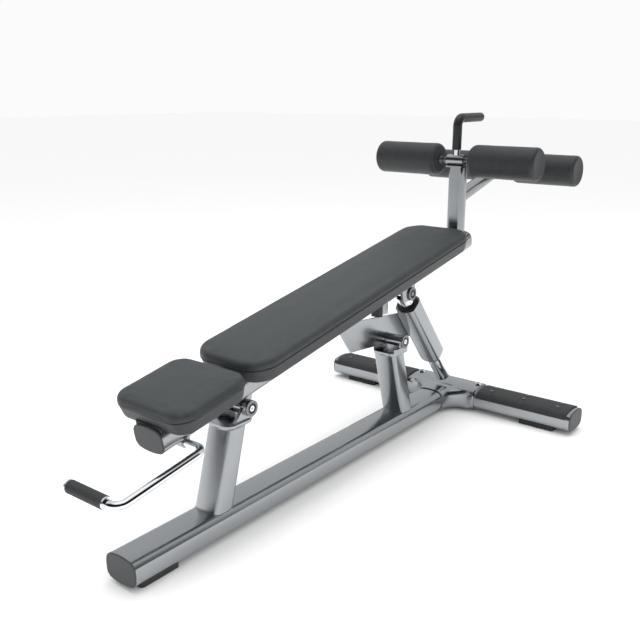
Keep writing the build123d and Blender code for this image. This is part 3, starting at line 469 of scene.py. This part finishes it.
# ---- pads ----------------------------------------------------------------------------------------
class PadPlan:
    """A pad's rounded-rectangle outline, sampled the same way at every inset."""

    def __init__(self, low, high, corner, pitch):
        self.centre = ((low.x + high.x) / 2, (low.y + high.y) / 2)
        self.half = ((high.x - low.x) / 2, (high.y - low.y) / 2)
        self.corner = corner
        self.counts = [2 * max(4, round(h / pitch)) for h in self.half]
        self.ring_size = 2 * sum(self.counts)

    def side(self, share, half_run, half_across, corner):
        """Point on one side, from the middle of one corner to the middle of the next."""
        straight = max(0.0, 2 * (half_run - corner))
        bend = corner * math.pi / 4
        at = share * (straight + 2 * bend)
        if at < bend:
            angle = math.pi / 4 - at / max(corner, 1e-9)
            return (
                -half_run + corner - corner * math.sin(angle),
                -half_across + corner - corner * math.cos(angle),
            )
        if at <= bend + straight:
            return (-half_run + corner + at - bend, -half_across)
        angle = (at - bend - straight) / max(corner, 1e-9)
        return (
            half_run - corner + corner * math.sin(angle),
            -half_across + corner - corner * math.cos(angle),
        )

    def ring(self, inset):
        """The outline's points at an inset, anticlockwise from one corner's middle."""
        along, across = self.half[0] - inset, self.half[1] - inset
        corner = max(self.corner - inset, 2 * MM)
        made = []
        for turn, (count, run, over) in enumerate(
            ((self.counts[0], along, across), (self.counts[1], across, along)) * 2
        ):
            for step in range(count):
                x, y = self.side(step / count, run, over, corner)
                for _ in range(turn):
                    x, y = -y, x
                made.append((x + self.centre[0], y + self.centre[1]))
        return made

    def fill(self, inset):
        """Rows of points that fill the outline at an inset, edge points first and last."""
        ring = self.ring(inset)
        nx, ny = self.counts
        bottom = ring[: nx + 1]
        right = ring[nx : nx + ny + 1]
        top = (ring[nx + ny : 2 * nx + ny + 1])[::-1]
        left = (ring[2 * nx + ny :] + ring[:1])[::-1]
        rows = []
        for j in range(ny + 1):
            v = j / ny
            row = []
            for i in range(nx + 1):
                u = i / nx
                point = []
                for k in range(2):
                    sides = (1 - v) * bottom[i][k] + v * top[i][k] + (1 - u) * left[j][k] + u * right[j][k]
                    corners = (1 - u) * ((1 - v) * bottom[0][k] + v * top[0][k])
                    corners += u * ((1 - v) * bottom[nx][k] + v * top[nx][k])
                    point.append(sides - corners)
                row.append(tuple(point))
            rows.append(row)
        return rows

    def edge_distance(self, x, y):
        """How far a point lies inside the outline."""
        dx = self.half[0] - abs(x - self.centre[0])
        dy = self.half[1] - abs(y - self.centre[1])
        if dx < self.corner and dy < self.corner:
            return self.corner - math.hypot(self.corner - dx, self.corner - dy)
        return min(dx, dy)


def closed_pad(name, plan, profile, lid, base, material):
    """A closed pad form: rings up the profile of (inset, height), then a filled lid and base.

    lid and base give the height of a point from its place. Returns the piece.
    """
    points = []
    for inset, height in profile:
        points += [Vector((x, y, height)) for x, y in plan.ring(inset)]
    faces = grid_faces(len(profile), plan.ring_size)
    nx, ny = plan.counts
    for ring_at, inset, height_at in ((len(profile) - 1, profile[-1][0], lid), (0, profile[0][0], base)):
        start = ring_at * plan.ring_size
        index = {}
        for i in range(nx):
            index[i, 0] = start + i
            index[nx - i, ny] = start + nx + ny + i
        for j in range(ny):
            index[nx, j] = start + nx + j
            index[0, ny - j] = start + 2 * nx + ny + j
        for j, row in enumerate(plan.fill(inset)):
            for i, (x, y) in enumerate(row):
                if (i, j) not in index:
                    index[i, j] = len(points)
                    points.append(Vector((x, y, height_at(x, y))))
        for j in range(ny):
            for i in range(nx):
                faces.append((index[i, j], index[i + 1, j], index[i + 1, j + 1], index[i, j + 1]))
    piece = build(name, points, faces, material)
    face_outwards(piece)
    return piece


def ease(value):
    """Smooth step from 0 to 1."""
    value = min(1.0, max(0.0, value))
    return value * value * (3 - 2 * value)


def pad_cover(name, plan, seam, top, material):
    """The stuffed upper half of a pad, tucked in at its seam and crowned over its middle."""
    s = sizes()
    tuck, crown = 1.6 * MM, s.pad_crown
    side_top = top - s.pad_roll
    side_low = seam + 5 * MM
    profile = [(tuck + 1.2 * MM, seam), (tuck, seam + 0.6 * MM), (0.5 * MM, seam + 2.4 * MM)]
    profile += [(0.0, side_low), (0.0, (side_low + side_top) / 2)]
    profile += arc((s.pad_roll, side_top), s.pad_roll, 180, 90, 9)

    def crowned(x, y):
        return top + crown * ease((plan.edge_distance(x, y) - s.pad_roll) / (70 * MM))

    piece = closed_pad(name, plan, profile, crowned, lambda x, y: seam, material)
    held = [v.index for v in piece.data.vertices if v.co.z < seam + 1.0 * MM]
    stuff(piece, held, s.pad_swell)
    for vertex in piece.data.vertices:
        rise = ease((vertex.co.z - seam) / (8 * MM))
        vertex.co.z += rise * 0.5 * MM * noise.noise(vertex.co * per_metre(45.0))
    smooth_mesh(piece)
    piece.data.transform(SLOPE)
    return piece


def pad_underside(name, plan, seam, low, recess, material):
    """The lower half: it draws in towards the base board and is flat, with a channel over the beam."""
    taper = math.tan(math.radians(15.0))
    depth, turn = seam - low, 11 * MM
    draw = depth * taper
    profile = [(draw + turn + 4 * MM, low), (draw + turn - 1 * MM, low)]
    profile += [(draw + 4.5 * MM, low + 1.6 * MM), (draw + 0.5 * MM, low + 5 * MM)]
    profile += [(draw - 2.5 * MM, low + 9 * MM)]
    profile += [(draw * 0.34, seam - 10 * MM), (1.8 * MM, seam - 3.4 * MM), (1.2 * MM, seam - 1.4 * MM)]
    profile += [(2.6 * MM, seam - 0.3 * MM)]
    channel_half = 50 * MM

    def channel(x, y):
        return low + (recess - low) * ease((channel_half - abs(y)) / (5 * MM))

    piece = closed_pad(name, plan, profile, lambda x, y: seam - 0.3 * MM, channel, material)
    smooth_mesh(piece)
    piece.data.transform(SLOPE)
    return piece


def seam_cord(name, plan, seam, material):
    """Narrow piping sewn between a pad's two halves."""
    radius, inset, around = 1.5 * MM, 1.9 * MM, 8
    points = []
    ring = plan.ring(inset)
    outer = plan.ring(inset - radius)
    for (x, y), (ox, oy) in zip(ring, outer):
        out = Vector((ox - x, oy - y, 0.0)).normalized()
        for step in range(around):
            angle = math.tau * step / around
            rise = Vector((0, 0, radius * math.sin(angle)))
            points.append(Vector((x, y, seam)) + out * radius * math.cos(angle) + rise)
    count = len(ring)
    faces = grid_faces(count, around)
    last = (count - 1) * around
    for step in range(around):
        after = (step + 1) % around
        faces.append((last + step, last + after, after, step))
    piece = build(name, points, faces, material)
    face_outwards(piece)
    piece.data.transform(SLOPE)
    return piece


class BENCH_OT_pads(bpy.types.Operator):
    """Upholster the head pad and the back pad"""

    bl_idname = "bench.pads"
    bl_label = "Pads"

    def execute(self, context):
        s = sizes()
        vinyl = grained_vinyl("grained_upholstery_vinyl", finishes().vinyl, 3.0, 0.42)
        trim = grained_vinyl("piping_vinyl", tone(finishes().vinyl, 0.3), 1.5, 0.55)
        for pad, corner, pitch in (
            ("head_pad", s.head_corner, 6 * MM),
            ("back_pad", s.back_corner, 7.5 * MM),
        ):
            low, high = slope_box(f"{pad}_cushion")
            base, _ = slope_box(f"{pad}_shell")
            _, strip = slope_box("pad_spacers")
            plan = PadPlan(low, high, corner, pitch)
            seam = low.z
            cover = pad_cover(f"{pad}_cover", plan, seam, high.z - 2 * MM, vinyl)
            under = pad_underside(f"{pad}_underside", plan, seam, base.z, strip.z, vinyl)
            cord = seam_cord(f"{pad}_seam", plan, seam, trim)
            for piece in (cover, under, cord):
                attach(piece, "bench")
            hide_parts(f"{pad}_cushion")
            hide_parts(f"{pad}_shell")
        return {"FINISHED"}


# ---- leg rollers ---------------------------------------------------------------------------------
ROLLERS = ("front_left", "front_right", "rear_left", "rear_right")
AXIS = 0.001 * MM  # a radius so small that the ring's points are merged on the axis


class BENCH_OT_rollers(bpy.types.Operator):
    """Cover the four foam leg rollers"""

    bl_idname = "bench.rollers"
    bl_label = "Leg rollers"

    def profile(self, run, radius, core):
        """(along, radius) pairs from the bore's blind end, out to the inner end and round the cover."""
        lip, roll_in, roll_out, dish = 4 * MM, 17 * MM, 12 * MM, 3 * MM
        blind = run - 4.4 * MM
        made = [(blind, AXIS), (blind, core * 0.6), (blind, core + 0.3 * MM)]
        made += [(run * share, core + 0.3 * MM) for share in (0.75, 0.5, 0.25)]
        made += [(lip + 2 * MM, core + 0.3 * MM)]
        made += arc((lip, core + 0.3 * MM + lip), lip, 270, 180, 4)
        made += arc((roll_in, radius - roll_in), roll_in, 180, 90, 8)
        straight = run - roll_in - roll_out
        made += [(roll_in + straight * step / 30, radius) for step in range(1, 30)]
        made += arc((run - roll_out, radius - roll_out), roll_out, 90, 8, 7)
        rim = radius - roll_out
        made += [(run - 1.6 * MM, rim - 0.8 * MM), (run - 0.6 * MM, rim - 2.4 * MM)]
        for share in (0.85, 0.6, 0.35, 0.15):
            made.append((run - dish * (1 - share**2) - 0.6 * MM, (rim - 3 * MM) * share))
        made += [(run - dish - 0.6 * MM, AXIS)]
        return made

    def cover(self, name, material):
        low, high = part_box(f"roller_{name}_foam")
        centre = (low + high) / 2
        radius = (high.z - low.z) / 2
        core_low, core_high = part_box(f"roller_{name}_core")
        core = (core_high.z - core_low.z) / 2
        outward = 1.0 if centre.y > 0 else -1.0
        run = high.y - low.y
        start = Vector((centre.x, centre.y - outward * run / 2, centre.z))
        turns = 88
        profile = self.profile(run, radius - 1.0 * MM, core)
        points, faces = revolve(profile, turns, start, outward)
        piece = build(f"roller_{name}_cover", points, faces, material)
        work = bmesh.new()
        work.from_mesh(piece.data)
        bmesh.ops.remove_doubles(work, verts=work.verts, dist=0.01 * MM)
        bmesh.ops.recalc_face_normals(work, faces=work.faces)
        work.to_mesh(piece.data)
        work.free()
        held = []
        for vertex in piece.data.vertices:
            off = vertex.co - start
            if math.hypot(off.x, off.z) < core + 2 * MM or off.y * outward > run - 2 * MM:
                held.append(vertex.index)
        stuff(piece, held, sizes().roller_swell)
        self.gather(piece, start, outward, core, radius)
        smooth_mesh(piece)
        return piece

    def gather(self, piece, start, outward, core, radius):
        """Small puckers where the cover is drawn into the bore and round the end disc, and uneven foam."""
        for vertex in piece.data.vertices:
            off = vertex.co - start
            out = math.hypot(off.x, off.z)
            if out < core + 1 * MM:
                continue
            angle = math.atan2(off.z, off.x)
            along = off.y * outward
            inner_end = ease(1 - along / (14 * MM)) * ease((radius - out) / (25 * MM))
            pucker = inner_end * 0.8 * MM * math.cos(26 * angle + 2 * math.sin(3 * angle))
            radial = Vector((off.x, 0, off.z)).normalized()
            side = ease((out - radius * 0.8) / (8 * MM))
            uneven = side * 0.45 * MM * noise.noise(vertex.co * per_metre(28.0))
            vertex.co += radial * uneven + Vector((0, outward * pucker, 0))

    def execute(self, context):
        vinyl = grained_vinyl("grained_roller_vinyl", finishes().roller, 3.2, 0.42)
        for name in ROLLERS:
            piece = self.cover(name, vinyl)
            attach(piece, f"roller_{name}")
            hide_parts(f"roller_{name}_foam")
        return {"FINISHED"}


# ---- release lever -------------------------------------------------------------------------------
class BENCH_OT_lever_grip(bpy.types.Operator):
    """Mould the ribbed rubber grip on the release lever"""

    bl_idname = "bench.lever_grip"
    bl_label = "Lever grip"

    def execute(self, context):
        low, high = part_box("lever_grip")
        centre = (low + high) / 2
        radius, half = (high.z - low.z) / 2, (high.y - low.y) / 2
        bore = radius - 5.9 * MM
        pitch, depth, turns = sizes().grip_rib, 0.7 * MM, 84
        plain = 6 * MM
        steps = 120
        end_round = 2 * MM
        profile = [(-half, bore), (-half, radius - 2.5 * MM)]
        profile += arc((-half + end_round, radius - end_round), end_round, 180, 90, 4)
        for step in range(steps + 1):
            along = -half + plain + (2 * half - 2 * plain) * step / steps
            profile.append((along, radius))
        profile += arc((half - end_round, radius - end_round), end_round, 90, 0, 4)
        profile += [(half, radius - 2.5 * MM), (half, bore)]
        points, faces = revolve(profile, turns, centre)
        last = (len(profile) - 1) * turns
        faces += [(last + i, last + (i + 1) % turns, (i + 1) % turns, i) for i in range(turns)]
        knurls = 14
        for point in points:
            off = point - centre
            if abs(off.y) > half - plain or math.hypot(off.x, off.z) < radius - 1 * MM:
                continue
            angle = math.atan2(off.z, off.x)
            twist = math.tau * off.y / pitch / 2
            around = knurls * angle / 2
            groove = abs(math.sin(around + twist)) * abs(math.sin(around - twist))
            fade = ease((half - plain - abs(off.y)) / (3 * MM))
            radial = Vector((off.x, 0, off.z)).normalized()
            point -= radial * depth * fade * (1 - groove**0.5)
        rubber = textured_plastic("moulded_grip_rubber", finishes().rubber, 0.6, 0.8, 0.05)
        piece = build("release_grip", points, faces, rubber)
        face_outwards(piece)
        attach(piece, "release_lever")
        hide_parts("lever_grip")
        return {"FINISHED"}


# ---- steel frame and welds -----------------------------------------------------------------------
PAINTED = (
    "floor_beam", "cross_saddle", "cross_tube", "front_post", "front_fork", "mid_post", "mid_fork",
    "bench_beam", "front_hub", "strut_bracket", "roller_post", "post_head", "roller_arm",
    "lever_bracket", "strut_sleeve", "rocker_plate", "rocker_hub",
)  # fmt: skip
BRIGHT = (
    "saddle_screws", "pivot_pins", "axle_washers", "handle_stub", "strut_tube", "strut_eye",
    "lever_bar", "lever_collars", "latch_pin",
)  # fmt: skip
MACHINED = ("pivot_rings", "strut_pin", "front_axle", "rear_axle", "step_pad_studs")
CAPS = ("floor_beam_cap", "cross_cap_left", "cross_cap_right", "bench_end_caps", "strut_tube_plug")
RUBBER = (
    "front_foot", "rear_foot_left", "rear_foot_right", "step_pad_left", "step_pad_right",
    "bump_stop", "pad_spacers",
)  # fmt: skip
NYLON = ("sleeve_bush", "latch_housing") + tuple(f"roller_{name}_core" for name in ROLLERS)


def finish_nodes(names, material):
    """Gives CAD pieces their finish."""
    for name in names:
        mesh = frame["nodes"][name].data
        mesh.materials.clear()
        mesh.materials.append(material)


class BENCH_OT_steel(bpy.types.Operator):
    """Powder coat the frame and polish the bright parts"""

    bl_idname = "bench.steel"
    bl_label = "Steel finishes"

    def execute(self, context):
        finish_nodes(PAINTED, silver_powder_coat())
        finish_nodes(BRIGHT, polished_chrome())
        finish_nodes(MACHINED, machined_steel())
        finish_nodes(("front_hub_bushes",), turned_bronze())
        return {"FINISHED"}


class BENCH_OT_plastics(bpy.types.Operator):
    """Finish the caps, the rubber parts, the bushes and the assist handle"""

    bl_idname = "bench.plastics"
    bl_label = "Plastic and rubber finishes"

    def execute(self, context):
        f = finishes()
        finish_nodes(CAPS, textured_plastic("moulded_cap_polypropylene", f.cap, 0.5, 1.2, 0.05))
        finish_nodes(RUBBER, textured_plastic("moulded_natural_rubber", f.rubber, 0.62, 1.6, 0.12))
        finish_nodes(NYLON, textured_plastic("black_nylon", f.nylon, 0.3, 1.0, 0.02))
        finish_nodes(("assist_handle",), textured_plastic("dipped_handle_vinyl", f.handle, 0.36, 2.0, 0.06))
        return {"FINISHED"}


def run_length(run):
    return sum((b - a).length for a, b in zip(run, run[1:]))


def contact_runs(name, other, reach=0.6 * MM, sharp=25.0):
    """Runs of a CAD piece's sharp edges that lie on another piece, longest first."""
    work = bmesh.new()
    work.from_mesh(frame["nodes"][name].data)
    bmesh.ops.remove_doubles(work, verts=work.verts, dist=0.01 * MM)
    target = bmesh.new()
    target.from_mesh(frame["nodes"][other].data)
    tree = BVHTree.FromBMesh(target)
    near = {v.index for v in work.verts if tree.find_nearest(v.co, reach)[0] is not None}
    beside = {}
    for edge in work.edges:
        if len(edge.link_faces) != 2 or edge.calc_face_angle() < math.radians(sharp):
            continue
        a, b = (v.index for v in edge.verts)
        middle = (edge.verts[0].co + edge.verts[1].co) / 2
        if a in near and b in near and tree.find_nearest(middle, reach)[0] is not None:
            beside.setdefault(a, set()).add(b)
            beside.setdefault(b, set()).add(a)
    places = {v.index: v.co.copy() for v in work.verts}
    work.free()
    target.free()
    runs = []
    while beside:
        ends = [a for a in beside if len(beside[a]) == 1]
        at = min(ends or beside)
        run = [at]
        while beside.get(at):
            after = min(beside[at])
            beside[at].discard(after)
            beside[after].discard(at)
            at = after
            run.append(at)
        beside = {a: n for a, n in beside.items() if n}
        if len(run) > 2:
            runs.append([places[a] for a in run])
    runs.sort(key=run_length, reverse=True)
    return runs


def resampled(run, step):
    """A run's points at even spacing."""
    made, left = [run[0].copy()], step
    for a, b in zip(run, run[1:]):
        gap = (b - a).length
        at = 0.0
        while gap - at >= left:
            at += left
            made.append(a.lerp(b, at / gap))
            left = step
        left -= gap - at
    return made


def bead_mesh(run, radius, ripple):
    """Points and faces of a rippled bead along a run."""
    step, around = 1.5 * MM, 7
    line = resampled(run, step)
    closed = (run[0] - run[-1]).length < 0.1 * MM
    if closed and (line[0] - line[-1]).length < step * 0.7:
        line.pop()
    count = len(line)
    points = []
    for i, at in enumerate(line):
        ahead = line[(i + 1) % count] if closed or i + 1 < count else at
        behind = line[i - 1] if closed or i > 0 else at
        along = (ahead - behind).normalized()
        side = along.cross(Vector((0.31, 0.22, 0.93))).normalized()
        up = along.cross(side)
        swell = 1 + 0.16 * abs(math.sin(math.pi * i * step / ripple))
        if not closed:
            swell *= 0.55 if i in (0, count - 1) else 1
        for turn in range(around):
            angle = math.tau * turn / around
            points.append(at + (side * math.cos(angle) + up * math.sin(angle)) * radius * swell)
    faces = grid_faces(count, around)
    last = (count - 1) * around
    if closed:
        faces += [(last + t, last + (t + 1) % around, (t + 1) % around, t) for t in range(around)]
    else:
        faces += [tuple(range(around))[::-1], tuple(range(last, last + around))]
    return points, faces


WELDS = {
    "root": (
        ("front_post", "floor_beam"), ("mid_post", "floor_beam"), ("front_post", "front_fork"),
        ("mid_post", "mid_fork"),
    ),
    "bench": (
        ("front_hub", "bench_beam"), ("strut_bracket", "bench_beam"), ("roller_post", "bench_beam"),
        ("roller_arm", "roller_post"),
    ),
    "rocker": (("rocker_plate", "strut_sleeve"), ("rocker_plate", "rocker_hub")),
}  # fmt: skip
WELD_NAMES = {"root": "base_welds", "bench": "bench_welds", "rocker": "rocker_welds"}


class BENCH_OT_welds(bpy.types.Operator):
    """Lay the weld beads where the tubes and plates meet"""

    bl_idname = "bench.welds"
    bl_label = "Welds"

    def execute(self, context):
        s = sizes()
        for body, pairs in WELDS.items():
            points, faces = [], []
            for name, other in pairs:
                runs = contact_runs(name, other)
                for run in runs:
                    if run_length(run) < 20 * MM:
                        continue
                    bead_points, bead_faces = bead_mesh(run, s.weld_radius, s.weld_ripple)
                    start = len(points)
                    points += bead_points
                    faces += [tuple(i + start for i in face) for face in bead_faces]
            if not faces:
                raise RuntimeError(f"no weld runs were found on {body}")
            piece = build(WELD_NAMES[body], points, faces, bpy.data.materials["silver_powder_coat"])
            face_outwards(piece)
            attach(piece, body)
        return {"FINISHED"}


# ---- pivot seals ---------------------------------------------------------------------------------
class BENCH_OT_pivot_seals(bpy.types.Operator):
    """Fit the black seals sunk in the ends of the pivots"""

    bl_idname = "bench.pivot_seals"
    bl_label = "Pivot seals"

    def ring(self, centre, face, side):
        inner, outer, thick = 8.6 * MM, 13.4 * MM, 1.4 * MM
        floor = face - 3.5 * MM
        profile = [(floor, inner), (floor + thick, inner), (floor + thick + 0.3 * MM, (inner + outer) / 2)]
        profile += [(floor + thick, outer), (floor, outer)]
        turns = 48
        points, faces = revolve(profile, turns, Vector((centre[0], 0, centre[2])), side)
        last = (len(profile) - 1) * turns
        faces += [(last + i, last + (i + 1) % turns, (i + 1) % turns, i) for i in range(turns)]
        return points, faces

    def execute(self, context):
        joints = {j["name"]: j for j in frame["joints"]}
        pin_low, pin_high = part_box("strut_pin")
        pin = (pin_low + pin_high) / 2
        pivots = [joints[name]["pos_m"] for name in ("bench_tilt", "rocker_swing")]
        material = textured_plastic("moulded_seal_rubber", finishes().nylon, 0.45, 0.8, 0.02)
        sets = (
            ("pivot_seals", "root", "pivot_rings", pivots),
            ("strut_pin_seals", "strut_tube_body", "strut_pin", [pin]),
        )
        for name, body, node, centres in sets:
            points, faces = [], []
            for centre in centres:
                near = [
                    v.co.y
                    for v in frame["nodes"][node].data.vertices
                    if math.hypot(v.co.x - centre[0], v.co.z - centre[2]) < 30 * MM
                ]
                for side in (-1.0, 1.0):
                    made, joined = self.ring(centre, max(near), side)
                    start = len(points)
                    points += made
                    faces += [tuple(i + start for i in face) for face in joined]
            piece = build(name, points, faces, material)
            face_outwards(piece)
            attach(piece, body)
        return {"FINISHED"}


# ---- stage ---------------------------------------------------------------------------------------
class BENCH_OT_stage(bpy.types.Operator):
    """Set the pale floor, the soft studio light and the camera"""

    bl_idname = "bench.stage"
    bl_label = "Stage"

    def softbox(self, name, place, aim, size, power):
        light = bpy.data.lights.new(name, "AREA")
        light.shape = "RECTANGLE"
        light.size, light.size_y = size
        light.energy = power
        made = bpy.data.objects.new(name, light)
        made.location = place
        made.rotation_euler = (Vector(aim) - Vector(place)).to_track_quat("-Z", "Y").to_euler()
        made.visible_glossy = False
        bpy.context.scene.collection.objects.link(made)

    def ramp(self, tree, height, stops):
        """Background whose colour follows a direction's height."""
        made = add_node(tree, "ShaderNodeValToRGB", None, {"Fac": height})
        while len(made.color_ramp.elements) < len(stops):
            made.color_ramp.elements.new(0.5)
        for element, (at, code) in zip(made.color_ramp.elements, stops):
            element.position, element.color = at, linear(code)
        return add_node(tree, "ShaderNodeBackground", {"Strength": 1.2}, {"Color": made.outputs["Color"]})

    def world(self):
        """A white studio lit from above; bright metal sees a dark wall on one side and a pale one beyond."""
        made = bpy.data.worlds.new("studio")
        made.use_nodes = True
        tree = made.node_tree
        tree.nodes.clear()
        way = add_node(tree, "ShaderNodeTexCoord").outputs["Generated"]
        height = add_node(tree, "ShaderNodeSeparateXYZ", None, {"Vector": way}).outputs["Z"]
        beyond = add_node(
            tree, "ShaderNodeVectorMath", {"operation": "DOT_PRODUCT", 1: (0.788, 0.616, 0.0)}, {0: way}
        )
        side = add_node(
            tree,
            "ShaderNodeMapRange",
            {"From Min": -0.12, "From Max": 0.12},
            {"Value": beyond.outputs["Value"]},
        )
        pale = ((0.0, "#8A8C8E"), (0.2, "#C4C6C7"), (0.8, "#D6D8D9"), (0.95, "#FFFFFF"))
        dark = ((0.0, "#26282A"), (0.1, "#121416"), (0.76, "#1A1C1E"), (0.87, "#FFFFFF"))
        lit = ((0.0, "#9C9C9C"), (0.35, "#B0B0B0"), (0.6, "#F8F8F8"), (1.0, "#FFFFFF"))
        light_path = add_node(tree, "ShaderNodeLightPath")
        mixes = []
        glossy, direct = (light_path.outputs[name] for name in ("Is Glossy Ray", "Is Camera Ray"))
        for factor in (side.outputs["Result"], glossy, direct):
            mixes.append(add_node(tree, "ShaderNodeMixShader", None, {0: factor}))
        walls, seen, shown = mixes
        backdrop = add_node(tree, "ShaderNodeBackground", {"Color": linear("#FBFBFB"), "Strength": 1.0})
        for made_from, mix, socket in (
            (self.ramp(tree, height, dark), walls, 1),
            (self.ramp(tree, height, pale), walls, 2),
            (self.ramp(tree, height, lit), seen, 1),
            (walls, seen, 2),
            (seen, shown, 1),
            (backdrop, shown, 2),
        ):
            tree.links.new(made_from.outputs[0], mix.inputs[socket])
        output = add_node(tree, "ShaderNodeOutputWorld")
        tree.links.new(shown.outputs[0], output.inputs["Surface"])
        bpy.context.scene.world = made

    def execute(self, context):
        self.world()
        low, high = cad_bounds
        size = 30.0
        corners = [(-size, -size), (size, -size), (size, size), (-size, size)]
        floor = build("floor", [(x, y, low.z - 0.0002) for x, y in corners], [(0, 1, 2, 3)], studio_floor())
        middle = (low + high) / 2
        self.softbox("overhead", (0.0, 0.0, 3.6), middle, (3.4, 1.6), 70.0)
        self.softbox("side_fill", (-2.4, -3.2, 1.9), middle, (2.0, 1.6), 22.0)
        lens = bpy.data.cameras.new("camera")
        lens.lens, lens.sensor_width = 45.93, 36.0
        camera = bpy.data.objects.new("camera", lens)
        camera.location = (-1.8785, -1.3407, 1.0782)
        pitch, heading = 15.7, -52.0  # degrees below the horizon, and round from +Y
        camera.rotation_euler = (math.radians(90.0 - pitch), 0.0, math.radians(heading))
        context.scene.collection.objects.link(camera)
        context.scene.camera = camera
        context.scene.view_settings.view_transform = "Standard"
        return {"FINISHED"}


class BENCH_PT_panel(bpy.types.Panel):
    """Lists the steps that finish the bench"""

    bl_idname = "BENCH_PT_panel"
    bl_label = "Sit-Up Bench"
    bl_space_type = "VIEW_3D"
    bl_region_type = "UI"
    bl_category = "Sit-Up Bench"

    def draw(self, context):
        for group in (context.scene.bench_finishes, context.scene.bench_sizes):
            for name in group.bl_rna.properties.keys():
                if name not in ("rna_type", "name"):
                    self.layout.prop(group, name)
        for step in STEPS:
            self.layout.operator(step.bl_idname)


STEPS = (
    BENCH_OT_stage,
    BENCH_OT_steel,
    BENCH_OT_plastics,
    BENCH_OT_welds,
    BENCH_OT_pivot_seals,
    BENCH_OT_lever_grip,
    BENCH_OT_rollers,
    BENCH_OT_pads,
)
CLASSES = (BenchFinishes, BenchSizes, *STEPS, BENCH_PT_panel)


def register():
    for cls in CLASSES:
        bpy.utils.register_class(cls)
    bpy.types.Scene.bench_finishes = PointerProperty(type=BenchFinishes)
    bpy.types.Scene.bench_sizes = PointerProperty(type=BenchSizes)


def unregister():
    del bpy.types.Scene.bench_sizes
    del bpy.types.Scene.bench_finishes
    for cls in reversed(CLASSES):
        bpy.utils.unregister_class(cls)


def main():
    register()
    for step in STEPS:
        group, name = step.bl_idname.split(".")
        getattr(getattr(bpy.ops, group), name)()
    bpy.context.view_layer.update()


if __name__ == "__main__":
    main()
